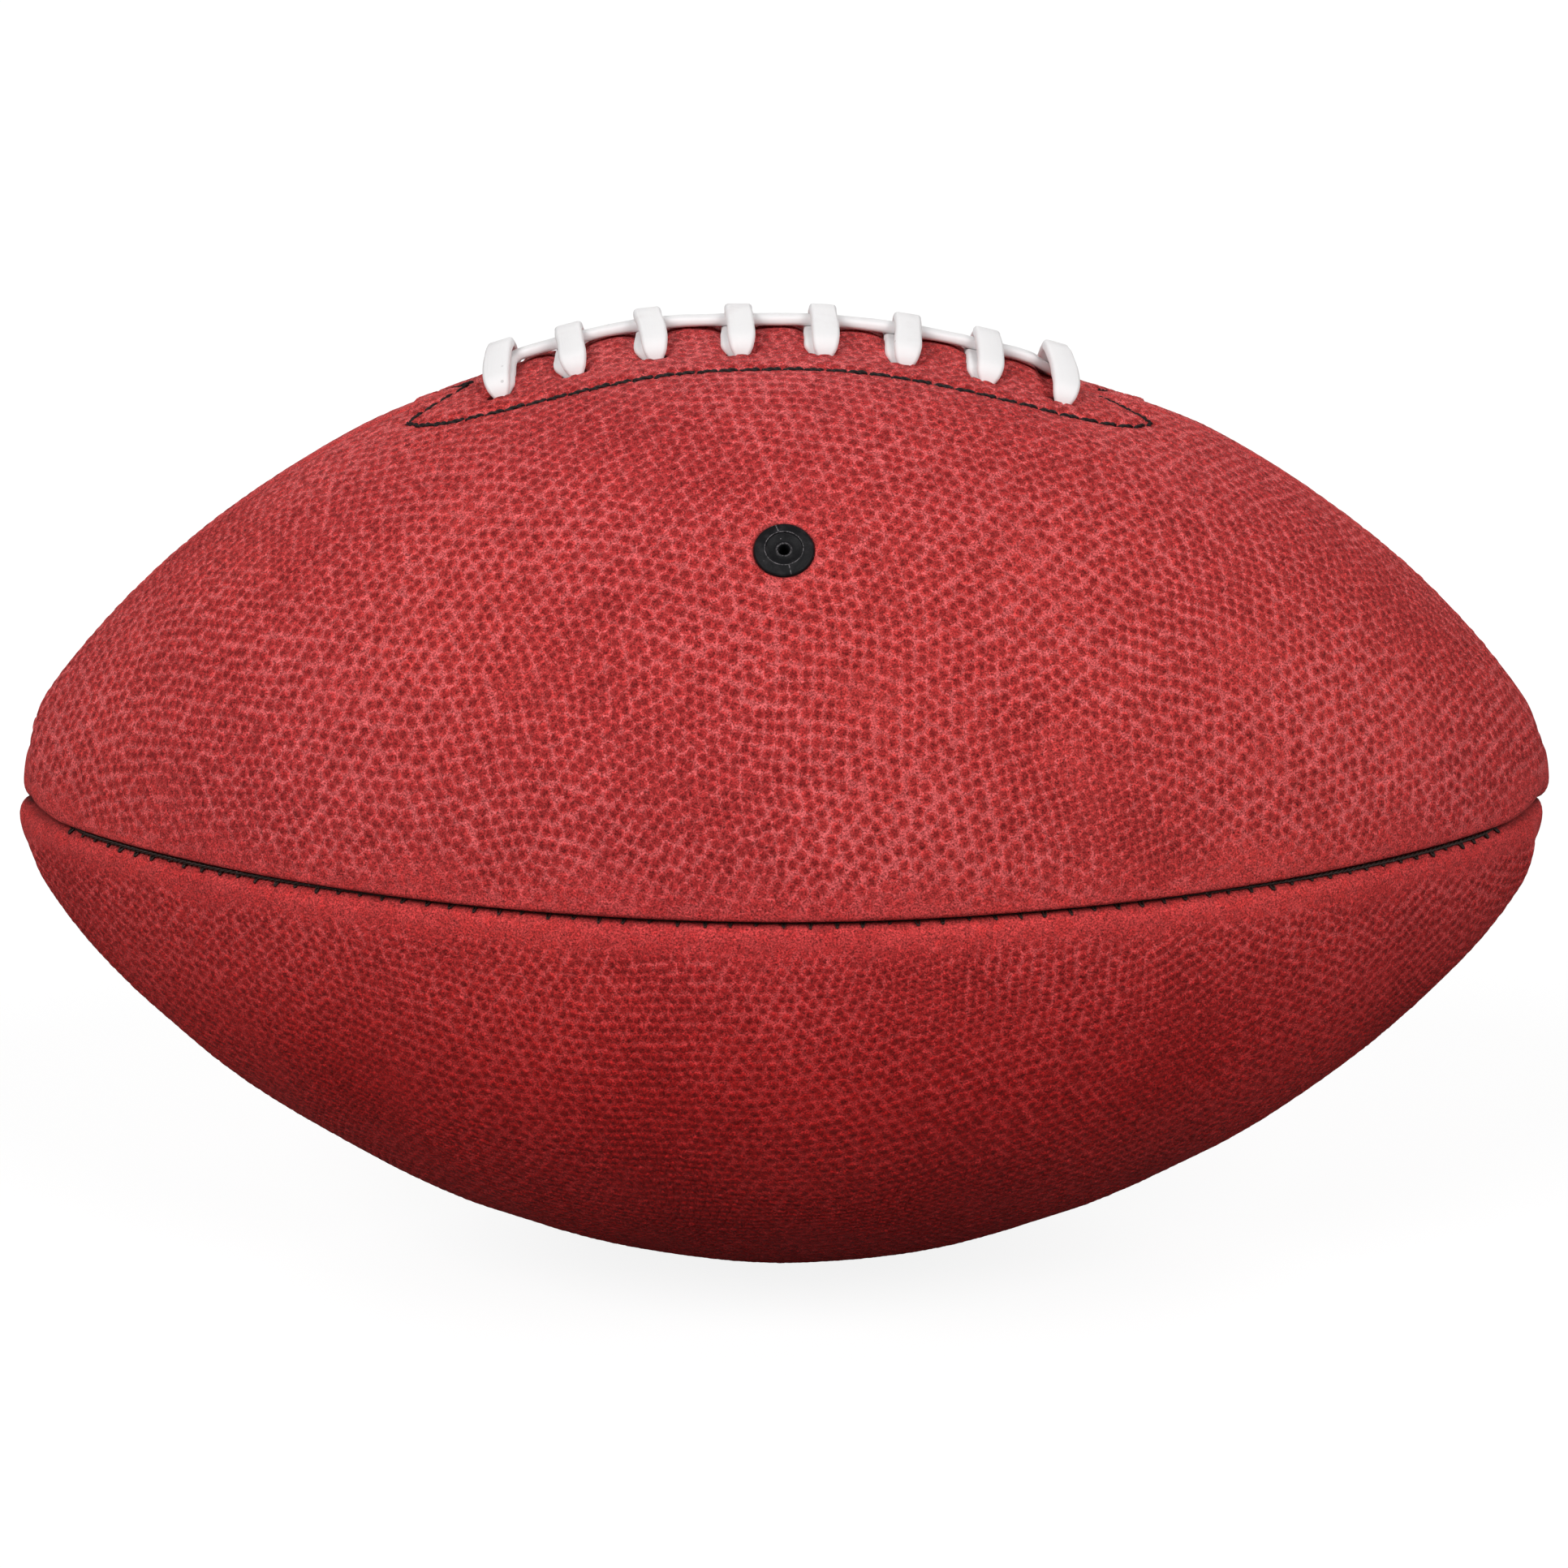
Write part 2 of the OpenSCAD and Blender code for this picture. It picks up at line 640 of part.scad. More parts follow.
function rung(i) = concat(
    back(inner_bend(i, 1, i - 1, -1, bend_r, bend_in)),
    outer_bend(i, 1, bend_r, lace_w, bend_out),
    over_leather(i, [[half_bend, low_h], [0, low_h], [-half_bend, low_h]]),
    back(outer_bend(i, -1, bend_r, lace_w, bend_out)),
    inner_bend(i, -1, i + 1, 1, bend_r, bend_in));

function band_over(i) = concat(
    outer_bend(i, 1, band_bend_r, lace_w, bend_out),
    over_leather(i, [[band_mid, (mid_h + high_h)/2], [band_shoulder, high_h], [0, high_h],
        [-band_shoulder, high_h], [-band_mid, (mid_h + high_h)/2]]),
    back(outer_bend(i, -1, band_bend_r, lace_w, bend_out)));
function band(i) = concat(
    back(inner_bend(i, 1, i == 0 ? 0 : i - 1, -1, band_bend_r, bend_in)),
    band_over(i),
    inner_bend(i, -1, i == bands - 1 ? i : i + 1, 1, band_bend_r, bend_in));

// Quarter turns between a rung and the long strand: [angle, height] pairs
last = bands - 1;
turn_steps = 3;
rise_share = [0, 1/16, 1/4, 1/2];
fall_share = [0, 1/16, 1/4, 2/3];
long_start_rings = let(x = station_x(last), u = station_along(x))
    [for (k = [0:turn_steps]) let(f = 90*k/turn_steps)
        [station_point(x, turn_r*cos(f) - turn_r, turn_r - turn_r*sin(f), low_h + rise_share[k]*lace_layer),
         cos(f)*u - [0, sin(f), 0], lace_w]];
long_end_rings = let(x = station_x(0), u = station_along(x))
    [for (k = [0:turn_steps]) let(f = 90*k/turn_steps)
        [station_point(x, turn_r - turn_r*sin(f), turn_r*cos(f) - turn_r, mid_h - fall_share[k]*lace_layer),
         sin(f)*u - [0, cos(f), 0], lace_w]];
long_from = station_x(last - 1) + lace_w/2 + lace_gap + edge_clear;
long_to = station_x(0) + turn_r + lace_gap;
long_steps = 2*(bands - 2);
long_rise_share = 0.85;
long_rings = concat(
    [[station_point((long_from + station_x(last) - turn_r)/2, 0, 0, low_h + long_rise_share*lace_layer),
        [0, -1, 0], lace_w]],
    [for (k = [0:long_steps]) let(x = long_from + (long_to - long_from)*k/long_steps)
        [station_point(x, 0, 0, mid_h), [0, -1, 0], lace_w]]);
turned_end = concat(long_end_rings,
    over_leather(0, [[-half_bend - lace_t/2, low_h]]),
    back(outer_bend(0, -1, bend_r, lace_w, bend_out)),
    inner_bend(0, -1, 0, 1, bend_r, bend_in));
function between(a, b) = [(a[0] + b[0])/2, unit(a[1] + b[1]), lace_neck_w];
bend_end = [bend_in[2]];
start_ring = between(inner_bend(0, -1, 1, 1, bend_r, bend_end)[0],
    inner_bend(1, 1, 0, -1, bend_r, bend_end)[0]);
cross_ring = between(inner_bend(0, -1, 0, 1, bend_r, bend_end)[0],
    inner_bend(0, 1, 0, -1, bend_r, bend_end)[0]);
end_ring = between(inner_bend(last, -1, last, 1, band_bend_r, bend_end)[0],
    inner_bend(last, 1, last, -1, band_bend_r, bend_end)[0]);
lace_rings = concat([start_ring],
    [for (i = [1:last - 1]) each rung(i)],
    back(inner_bend(last, 1, last - 1, -1, bend_r, bend_in)),
    outer_bend(last, 1, bend_r, lace_w, bend_out),
    over_leather(last, [[half_bend + lace_t, low_h]]),
    long_start_rings, long_rings, turned_end, [cross_ring],
    [for (i = [0:last]) each band(i)], [end_ring]);

// Flat section with bevelled edges: shares of half the width left over by the bevel, and thickness
lace_sides = 6;
bevel_share = 0.4;
bevel = bevel_share*lace_t;
function strap_loop(ring, tangent) =
    let(w = unit(ring[1] - (ring[1]*tangent)*tangent), v = cross(tangent, w), hw = ring[2]/2, ht = lace_t/2)
    [for (q = [[hw, 0], [hw - bevel, ht], [bevel - hw, ht], [-hw, 0], [bevel - hw, -ht], [hw - bevel, -ht]])
        ring[0] + q[0]*w + q[1]*v];
lace_n = len(lace_rings);
function lace_tangent(k) = unit(lace_rings[min(k + 1, lace_n - 1)][0] - lace_rings[max(k - 1, 0)][0]);
lace_loops = [for (k = [0:lace_n - 1]) strap_loop(lace_rings[k], lace_tangent(k))];
lace_cap = [[0, 1, 2], [0, 2, 3], [0, 3, 4], [0, 4, 5]];
lace_faces = [for (f = concat(loft_sides(lace_n, lace_sides), [for (f = lace_cap) [f[2], f[1], f[0]]],
    [for (f = lace_cap) [for (i = f) i + (lace_n - 1)*lace_sides]])) [f[2], f[1], f[0]]];

// Least distance of the strap to itself, measured on points of rings that are not neighbours
near_steps = 7;
function loop_gap(a, b) = min([for (p = a, q = b) norm(p - q)]);
function lace_self_gap() = min([for (i = [0:lace_n - 1], j = [i + near_steps:1:lace_n - 1])
    if (norm(lace_rings[i][0] - lace_rings[j][0]) < lace_w + lace_layer)
        loop_gap(lace_loops[i], lace_loops[j])]);

module lace() {
    echo(lace_self_gap = lace_self_gap(), lace_rings = lace_n);
    color("#f2ecec") polyhedron([for (l = lace_loops) each l], lace_faces, convexity = 20);
}

panel_front_top();
panel_back_top();
panel_front_bottom();
panel_back_bottom();
lining_front_top();
lining_back_top();
lining_front_bottom();
lining_back_bottom();
bladder();
valve_stem();
valve_core();
valve_patch();
tongue();
facing_front();
facing_back();
lace();
facing_stitch_front();
facing_stitch_back();
seam_thread_front();
seam_thread_back();
seam_thread_bottom();
seam_thread_lacing_left();
seam_thread_lacing_right();
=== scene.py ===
"""American football: pebbled leather, white lace, sewing threads and valve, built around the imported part."""

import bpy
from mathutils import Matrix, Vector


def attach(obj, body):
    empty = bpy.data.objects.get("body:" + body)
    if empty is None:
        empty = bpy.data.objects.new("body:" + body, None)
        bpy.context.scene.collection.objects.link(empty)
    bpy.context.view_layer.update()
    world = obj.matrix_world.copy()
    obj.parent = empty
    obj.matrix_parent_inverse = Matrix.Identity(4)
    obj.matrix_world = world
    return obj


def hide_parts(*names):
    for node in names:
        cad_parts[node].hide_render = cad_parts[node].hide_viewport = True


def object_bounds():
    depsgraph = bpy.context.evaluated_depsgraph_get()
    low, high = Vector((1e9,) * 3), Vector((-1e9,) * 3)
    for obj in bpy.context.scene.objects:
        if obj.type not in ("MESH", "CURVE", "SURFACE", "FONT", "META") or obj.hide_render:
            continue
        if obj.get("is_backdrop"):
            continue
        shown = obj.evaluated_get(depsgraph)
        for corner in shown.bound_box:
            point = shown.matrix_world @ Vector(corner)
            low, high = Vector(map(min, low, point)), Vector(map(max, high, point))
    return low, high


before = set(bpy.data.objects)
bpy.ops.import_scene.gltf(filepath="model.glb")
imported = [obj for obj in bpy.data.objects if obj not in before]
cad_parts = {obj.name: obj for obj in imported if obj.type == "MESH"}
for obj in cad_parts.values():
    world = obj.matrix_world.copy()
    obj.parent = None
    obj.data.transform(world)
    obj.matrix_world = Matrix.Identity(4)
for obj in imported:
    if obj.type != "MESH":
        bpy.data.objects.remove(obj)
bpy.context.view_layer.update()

import math
from collections import namedtuple

import bpy
import numpy as np
from bpy.props import FloatProperty, FloatVectorProperty, PointerProperty
from mathutils.geometry import delaunay_2d_cdt

bl_info = {
    "name": "American Football Looks",
    "version": (1, 0, 0),
    "blender": (4, 5, 0),
    "location": "View3D > Sidebar > Football",
    "description": "Builds the leather, lace, threads and valve of an american football around its frame",
    "category": "Add Mesh",
}

# Every length below is in millimetres, as in the part's source, and meshes are written in metres
MM = 0.001
TURN = 2 * math.pi

# Outline of the ball
HALF_LEN = 140.2
BALL_R = 86.4
VIRTUAL_LEN = HALF_LEN * 1.0223
FULLNESS = 1.8415
POINT = 0.7118
BODY_POINTS = 900
NOSE_LEN = 1.2
NOSE_HOLLOW = 2.86
NOSE_FALL = 0.7
NOSE_POINTS = 24

# Make-up of a panel: its thickness, its rolled edges, the flange that is turned in, and the gap of the seams
LEATHER_T = 2.1
ROLL_R = 3.0
CRISP_ROLL_R = 1.0
LACING_ROLL_R = 1.0
LACING_ROLL_GAIN = 1.4
TIP_ROLL_R = 5.0
TIP_ROLL_LEN = 20
TIP_ROLL_RUN = 18
ROLL_SHARE = 0.45
WALL_SHARE = 0.7
FLANGE_SHARE = 0.85
TURN_IN = 2.4
LACING_TURN_IN = 0.3
SEAM_GAP = 0.15
TIP_GAP = 0.17
TIP_GAP_FROM = 50
TIP_GAP_RUN = 55

# How far the leather is pressed in at the left and the right tip
TIP_DROP_UPPER = (2.0, 1.2)
TIP_DROP_LOWER = (0.9, 2.0)
TIP_DROP_RUN = 9

# How the leather dips along the lacing, less in the left half
LACING_X = -0.8
LACING_DIP = 2.8
DIP_FLAT_LEN = 44.0
DIP_RUN_LEN = 34.0
DIP_FLAT_REACH = 13.0
DIP_RUN_REACH = 24.0
LEFT_RISE = 0.6
LEFT_RISE_FROM = 2
LEFT_RISE_RUN = 28

# How the leather swells between the rungs of the lace
BULGE = 1.4
BULGE_REACH = 11.0
BULGE_RUN = 4.5
RUNG_CLEAR = 2.3

# Stations of the lacing, and the small shifts of a hand-laced row, from the left end to the right
BANDS = 8
BAND_PITCH = 14.2
HOLE_REACH = 14.2
HOLE_SHIFT = (0.2, -0.7, -0.8, 0.1, 0.5, 0.5, 0.7, -0.2)
TOP_SHIFT = (1.6, -0.9, -1.7, -0.2, 0.3, 0.7, 0.2, -2.1)
TOP_LIFT = (0.6, 0.0, 0.0, 0.0, 0.0, 0.0, 0.2, 1.2)
FAR_SPREAD = 0.02
END_LIFT = (0.0, 1.8)
END_LIFT_FROM = 38.5
END_LIFT_RUN = 7.0
UNDER_SHIFT = (0.8, -0.9, -0.9, -0.9, -0.9, -0.9, -1.0, -0.9)
OVER_SHIFT = 0.4
HOLE_HALF_LEN = 2.35
HOLE_HALF_WIDTH = 2.0
HOLE_SQUARENESS = 2.4

# Line of stitches round the facing
STITCH_HALF_LEN = 66.8
STITCH_REACH = 26.2
STITCH_CORNER = 65.4
STITCH_END = 55.0
STITCH_SQUARENESS = 3.5

# Seams and valve
SEAM_REACH = 128.0
LACING_SEAM_FROM = 63.0
VALVE_ANGLE = math.radians(48.3)
VALVE_CLEAR = 0.15


# Shape of the ball

def smooth(u):
    """Smooth step: 3 u squared less 2 u cubed, held between 0 and 1."""
    v = np.clip(u, 0, 1)
    return v * v * (3 - 2 * v)


def radius(x):
    """Radius of the ball at a place x: full radius times (1 - share of the length to a power) to a power."""
    return BALL_R * (1 - np.minimum(np.abs(x) / VIRTUAL_LEN, 1) ** FULLNESS) ** POINT


def dip_along(x):
    """Share of the dip beside the lacing at a place x: 1 in the middle, run out smoothly to 0."""
    return 1 - smooth((np.abs(x) - DIP_FLAT_LEN) / DIP_RUN_LEN)


def dip(x, s):
    """How much lower the leather lies at a place x and an arc s from the lacing seam: less in the left half."""
    most = LACING_DIP * (1 - LEFT_RISE * smooth((-x - LEFT_RISE_FROM) / LEFT_RISE_RUN))
    return most * dip_along(x) * (1 - smooth((np.abs(s) - DIP_FLAT_REACH) / DIP_RUN_REACH))


def outline():
    """Outline of the ball from tip to tip as arrays over its own length p: the place x, the radius r and the
    normal's parts. The body follows radius(x), the nose a circle that meets it, and the hollow a parabola."""
    nose_x = HALF_LEN - NOSE_LEN
    step = 0.01
    lean = math.atan((radius(nose_x - step) - radius(nose_x + step)) / (2 * step))
    nose_r = NOSE_LEN / (1 - math.sin(lean))
    body = np.linspace(0, nose_x, BODY_POINTS)
    a = np.linspace(lean, math.pi / 2, NOSE_POINTS)[1:]
    tip_r = radius(nose_x) - nose_r * math.cos(lean)
    u = np.linspace(0, NOSE_FALL, NOSE_POINTS)[1:]
    x = np.concatenate([body, nose_x + nose_r * (np.sin(a) - math.sin(lean)), HALF_LEN - NOSE_HOLLOW * u * u])
    r = np.concatenate([radius(body), tip_r + nose_r * np.cos(a), tip_r * (1 - u)])
    x = np.concatenate([-x[:0:-1], x])
    r = np.concatenate([r[:0:-1], r])
    p = np.concatenate([[0], np.cumsum(np.hypot(np.diff(x), np.diff(r)))])
    p -= p[-1] / 2
    along, out = np.gradient(x, p), np.gradient(r, p)
    size = np.hypot(along, out)
    return {"p": p, "x": x, "r": r, "nx": -out / size, "nr": along / size}


LINE = outline()
P_END = LINE["p"][-1]
BODY = slice(2 * NOSE_POINTS - 2, 2 - 2 * NOSE_POINTS)
P_NOSE = LINE["p"][BODY][-1]


def at(p, key):
    """Value of the outline at a length p along it."""
    return np.interp(p, LINE["p"], LINE[key])


def p_of(x):
    """Length along the outline at a place x of the body."""
    return np.interp(x, LINE["x"][BODY], LINE["p"][BODY])


def roll_of(r, wanted=ROLL_R):
    """Radius of the rolled edge where the ball has a radius r: less near the tips."""
    return np.minimum(wanted, ROLL_SHARE * r)


def gap_at(p):
    """Half the gap of a seam: a little wider towards the tips."""
    return SEAM_GAP + TIP_GAP * smooth((np.abs(at(p, "x")) - TIP_GAP_FROM) / TIP_GAP_RUN)


def edge_roll(p, laced, side):
    """Wanted radius of a panel's rolled edge. An upper panel is rolled tightly along the side seams, where it
    overhangs the lower one, and under the lace. At the tips every edge is rolled widely."""
    if not laced:
        wanted = ROLL_R
    elif side == 0:
        wanted = LACING_ROLL_R + LACING_ROLL_GAIN * (1 - dip_along(at(p, "x")))
    else:
        wanted = CRISP_ROLL_R
    return wanted + (TIP_ROLL_R - wanted) * smooth((np.abs(p) - P_NOSE + TIP_ROLL_LEN) / TIP_ROLL_RUN)


def edge_turn(p, wanted=ROLL_R):
    """Turn from a seam at which the flat of a panel gives way to its rolled edge."""
    r = at(p, "r")
    return np.arcsin((gap_at(p) + roll_of(r, wanted)) / r)


def tip_drop(p, laced):
    """How far the leather is pressed in at the tips: a smooth step over the last of the outline's body."""
    left, right = TIP_DROP_UPPER if laced else TIP_DROP_LOWER
    return np.where(p < 0, left, right) * smooth((np.abs(p) - P_NOSE + TIP_DROP_RUN) / TIP_DROP_RUN)


def skin(p, theta, depth, laced):
    """Point of the upper back quarter: the outline point turned by theta from the lacing seam, moved in along its
    normal by a depth and by the drop at the tips, which runs out at twice the leather's thickness, and lowered by
    the dip beside the lacing."""
    r = at(p, "r")
    depth = depth + tip_drop(p, laced) * np.clip(1 - depth / LEATHER_T / 2, 0, 1)
    inner = r - depth * at(p, "nr")
    x = at(p, "x")
    z = inner * np.cos(theta) - (dip(x, r * theta) if laced else 0)
    return np.stack([x - depth * at(p, "nx"), inner * np.sin(theta), z], -1)


def spread(p, theta):
    """Flat pattern of a panel: across is the arc from its middle line, and along is the outline's length, bowed
    by half the slope times the square of the turn, so that the pattern keeps its right angles."""
    turn = theta - math.pi / 4
    r = at(p, "r")
    return np.stack([p + at(p, "nx") * r * turn * turn / 2, r * turn], -1)


GATHER_ROUNDS = 14


def gather(flat):
    """Length and turn of points of the flat pattern: the inverse of spread, by repeated substitution."""
    p = np.clip(flat[..., 0], -P_END, P_END)
    for _ in range(GATHER_ROUNDS):
        p = np.clip(flat[..., 0] - at(p, "nx") * flat[..., 1] ** 2 / at(p, "r") / 2, -P_END, P_END)
    return p, math.pi / 4 + flat[..., 1] / at(p, "r")


# Meshes

# Distance at which two points of a pattern are one, and how many triangles are looked at together
FILL_NEAR = 1e-7
FILL_BATCH = 1500


def make_object(name, points, polygons, values, material, cells=None):
    """Object with its mesh in metres, from points in millimetres, arrays of polygons and values of the points.
    Cells, where given, are places within a pebble for every corner of the polygons, kept as a UV map."""
    mesh = bpy.data.meshes.new(name)
    counts = np.concatenate([np.full(len(group), group.shape[1]) for group in polygons])
    corners = np.concatenate([group.ravel() for group in polygons])
    mesh.vertices.add(len(points))
    mesh.vertices.foreach_set("co", (points * MM).astype(np.float32).ravel())
    mesh.loops.add(len(corners))
    mesh.loops.foreach_set("vertex_index", corners.astype(np.int32))
    mesh.polygons.add(len(counts))
    starts = np.concatenate([[0], np.cumsum(counts)[:-1]])
    mesh.polygons.foreach_set("loop_start", starts.astype(np.int32))
    mesh.polygons.foreach_set("use_smooth", np.ones(len(counts), bool))
    mesh.update(calc_edges=True)
    if mesh.validate():
        raise RuntimeError(name + " has faulty faces")
    for key, value in values.items():
        layer = mesh.attributes.new(key, "FLOAT", "POINT")
        layer.data.foreach_set("value", np.asarray(value, np.float32).ravel())
    if cells is not None:
        mesh.uv_layers.new(name="cell").data.foreach_set("uv", cells.astype(np.float32).ravel())
    mesh.materials.append(material)
    thing = bpy.data.objects.new(name, mesh)
    bpy.context.scene.collection.objects.link(thing)
    return thing


def place(thing, slot, *nodes):
    """Ties a finished piece to the ball's body and hides the CAD nodes that it stands for. The slot is not used."""
    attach(thing, "root")
    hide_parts(*nodes)


def grid_faces(index, wrap_u=False, wrap_v=False):
    """Quads over a grid of point numbers, wrapped round where a direction is closed."""
    if wrap_u:
        index = np.concatenate([index, index[:1]], 0)
    if wrap_v:
        index = np.concatenate([index, index[:, :1]], 1)
    return np.stack([index[:-1, :-1], index[1:, :-1], index[1:, 1:], index[:-1, 1:]], -1).reshape(-1, 4)


def loop_edges(numbers):
    """Edges of a closed loop of point numbers."""
    return np.stack([numbers, np.roll(numbers, -1)], -1)


def fill_flat(points, edges):
    """Triangles between closed loops of points in a plane. A triangle counts where a ray from its middle
    crosses the loops an odd number of times, so that loops within loops are left open in turn."""
    found = delaunay_2d_cdt(points.tolist(), edges.tolist(), [], 0, FILL_NEAR, True)
    if len(found[0]) != len(points):
        raise RuntimeError("loops of a panel's pattern cross")
    origin = np.array([ids[0] for ids in found[3]])
    triangles = origin[np.array(found[2])]
    a, b = points[edges[:, 0]], points[edges[:, 1]]
    rise = np.where(a[:, 1] == b[:, 1], 1, b[:, 1] - a[:, 1])
    kept = []
    for part in np.array_split(triangles, len(triangles) // FILL_BATCH + 1):
        middle = points[part].mean(1)
        y = middle[:, 1:]
        across = a[:, 0] + (y - a[:, 1]) * (b[:, 0] - a[:, 0]) / rise
        crossed = ((a[:, 1] > y) != (b[:, 1] > y)) & (middle[:, :1] < across)
        kept.append(part[crossed.sum(1) % 2 == 1])
    return np.concatenate(kept)


def split_like(rows, polygons):
    """Rows that belong to the corners of all polygons, parted by their groups."""
    return np.split(rows, np.cumsum([group.size for group in polygons])[:-1])


def bell(gap, width):
    """Bell curve: 1 at a gap of 0, and falling off over a width."""
    return np.exp(-(gap / width) ** 2)


def unit(v):
    """Vectors of length 1."""
    return v / np.linalg.norm(v, axis=-1, keepdims=True)


def section_frames(path, wide):
    """Unit directions along each path, across it near the wanted direction, and square to both."""
    along = unit(np.gradient(path, axis=-2))
    across = unit(wide - (wide * along).sum(-1, keepdims=True) * along)
    return across, np.cross(along, across)


def tubes(path, wide, radius_along, sides):
    """Round tubes along many paths: circles of the given radius, square to each path. Gives the points, the
    side faces, the end caps and the number of each point along its path."""
    n, m = path.shape[:2]
    across, up = section_frames(path, wide)
    a = np.arange(sides) * TURN / sides
    circle = np.cos(a)[:, None] * across[:, :, None] + np.sin(a)[:, None] * up[:, :, None]
    points = path[:, :, None] + radius_along[..., None, None] * circle
    index = np.arange(n * m * sides).reshape(n, m, sides)
    faces = np.concatenate([grid_faces(one, wrap_v=True) for one in index])
    caps = np.concatenate([index[:, 0], index[:, -1, ::-1]])
    return points.reshape(-1, 3), [faces[:, ::-1], caps[:, ::-1]], np.repeat(np.tile(np.arange(m), n), sides)


# Leather panels

# A hole: length p and turn of its centre, its half sizes, the power of its superellipse and its count of corners
Opening = namedtuple("Opening", "p theta half_len half_width power corners")
LACE_HOLE_CORNERS = 28
VALVE_HOLE_CORNERS = 56

# Slow waves of the leather, worn patches, and the bend of the rows of pebbles: size and length
SLOW_WAVES = (0.13, 38.0)
WORN_WAVES = (0.25, 24.0)
ROW_WAVES = (2.6, 52.0)
WORN_MEAN = 0.85
WORN_LEAST = 0.45

# The facing rises inside its line of stitches, which lies in a groove
FACING_BOX = (76, 36)
FACING_RISE = 0.45
FACING_FROM = 1.5
FACING_RUN = 3
GROOVE_DEPTH = 0.4
GROOVE_WIDTH = 0.9

# Rings round a lace hole and round the valve, and the creases of a lace hole: height, distance and width
PUCKER = ((0.15, 2.2, 1.0), (-0.9, 0.0, 1.0))
VALVE_SEAT = ((-0.25, 0.0, 5.0), (-0.2, 0.0, 0.8))
CREASE = (0.04, 1.2, 1.0)
CREASES = 9

# Where the pebbles start and over what distance they grow: from the lacing or bottom seam, from the side seam,
# again from the side seam of an upper panel, and from the tips
UPPER_FADE = ((0.7, 1.6), (1.0, 1.2))
LOWER_FADE = ((2.4, 5.0), (2.4, 7.0))
SIDE_FADE = (1.5, 11)
SIDE_FADE_LEAST = 0.45
TIP_FADE = (3, 9)
HOLE_FADE_RUN = 1.6

# Pebbles: jitter of their middles, room to edges and holes, the fade below which one has no ring, the size of
# the ring with its drawn unevenness, the drawn height, and the depth of the grooves and height of the crowns in
# shares of the ring's height, then the honeycomb's rows and the place given to corners off the pebbles
PEBBLE_JITTER = 0.2
MIDDLE_CLEAR = 0.8
CORNER_CLEAR = 0.2
WORN_FADE = 0.22
RING_SIZE = (0.54, 0.64)
RING_UNEVEN = (0.94, 1.06)
PEBBLE_LIFT = (0.8, 1.1)
GROOVE_SHARE = 0.25
CROWN_SHARE = 1.25
ROW_STEP = math.sin(math.pi / 3)
HONEYCOMB_SPARE = 1.06
OFF_CELL = 9.0

# Edge strips, walls of the holes as inset and depth, the share of painted shade on the hole rims, and the loose
# points of nose and inner face
ROLL_ROWS = 7
EDGE_COLUMNS = 460
KNOT_CROWDING = 0.06
UPPER_PULL = 0.1
LOWER_PULL = 0.22
HOLE_WALL = ((0.15, 0.45), (0.0, LEATHER_T))
RIM_PAINTED_SHADE = 0.7
NOSE_SHARES = np.arange(1, 8) / 8
INNER_STEP = 7.0
INNER_SHARES = np.linspace(0, 1, 15)[1:-1]
INNER_CLEAR = 1.0


def stitch_limit(x):
    """Reach of the facing's line of stitches at a place along it: a superellipse."""
    share = np.minimum(np.abs(x) / STITCH_HALF_LEN, 1) ** STITCH_SQUARENESS
    return STITCH_REACH * (1 - share) ** (1 / STITCH_SQUARENESS)


def stitch_line():
    """Line of stitches in place and arc from the seam: along the curved edge, and back to the seam at both ends."""
    x = -STITCH_CORNER * np.cos(np.linspace(0, math.pi, 61))
    curve = np.stack([x, stitch_limit(x)], -1)
    ends = SEAM_GAP + ROLL_R / 2
    return np.concatenate([[[-STITCH_END, ends]], curve, [[STITCH_END, ends]]])


def line_distance(x, s):
    """Distance of points to the line of stitches, and whether they lie inside it."""
    line = stitch_line()
    here = np.stack([x - LACING_X, s], -1)[:, None]
    a, b = line[:-1], line[1:]
    share = np.clip(((here - a) * (b - a)).sum(-1) / ((b - a) ** 2).sum(-1), 0, 1)
    near = np.linalg.norm(here - a - share[..., None] * (b - a), axis=-1).min(1)
    return near, (np.abs(here[:, 0, 0]) < STITCH_CORNER) & (here[:, 0, 1] < stitch_limit(here[:, 0, 0]))


def station_x(i):
    """Place of a station of the lacing along the ball."""
    return LACING_X + (i - (BANDS - 1) / 2) * BAND_PITCH


def crest(x):
    """Height of the leather's crest line at the lacing seam."""
    return radius(x) - dip(x, 0)


def crest_lean(x):
    """Lean of the crest line at a place x, from two nearby points."""
    step = 0.14
    return math.atan((crest(x - step) - crest(x + step)) / (2 * step))


def station_point(x, s, h, e=0.0):
    """Point of a station of the lacing: place x, arc s from the seam, height h over the leather and step e along
    the seam, on a circle square to the crest line."""
    a = crest_lean(x)
    rn = radius(x) / math.cos(a)
    z = (rn + h) * math.cos(s / rn) - rn
    return np.array([x + e * math.cos(a) + z * math.sin(a), (rn + h) * math.sin(s / rn),
                     crest(x) - e * math.sin(a) + z * math.cos(a)])


def openings(laced, valved, valve_r):
    """Holes of a panel: those of the lace, and the valve's."""
    found = []
    if laced:
        for i in range(BANDS):
            x, y, z = station_point(station_x(i) + HOLE_SHIFT[i], HOLE_REACH, 0)
            theta = math.atan2(y, z + dip(x, HOLE_REACH))
            found.append(Opening(p_of(x), theta, HOLE_HALF_LEN, HOLE_HALF_WIDTH, HOLE_SQUARENESS,
                                 LACE_HOLE_CORNERS))
    if valved:
        found.append(Opening(0.0, VALVE_ANGLE, valve_r, valve_r, 2.0, VALVE_HOLE_CORNERS))
    return found


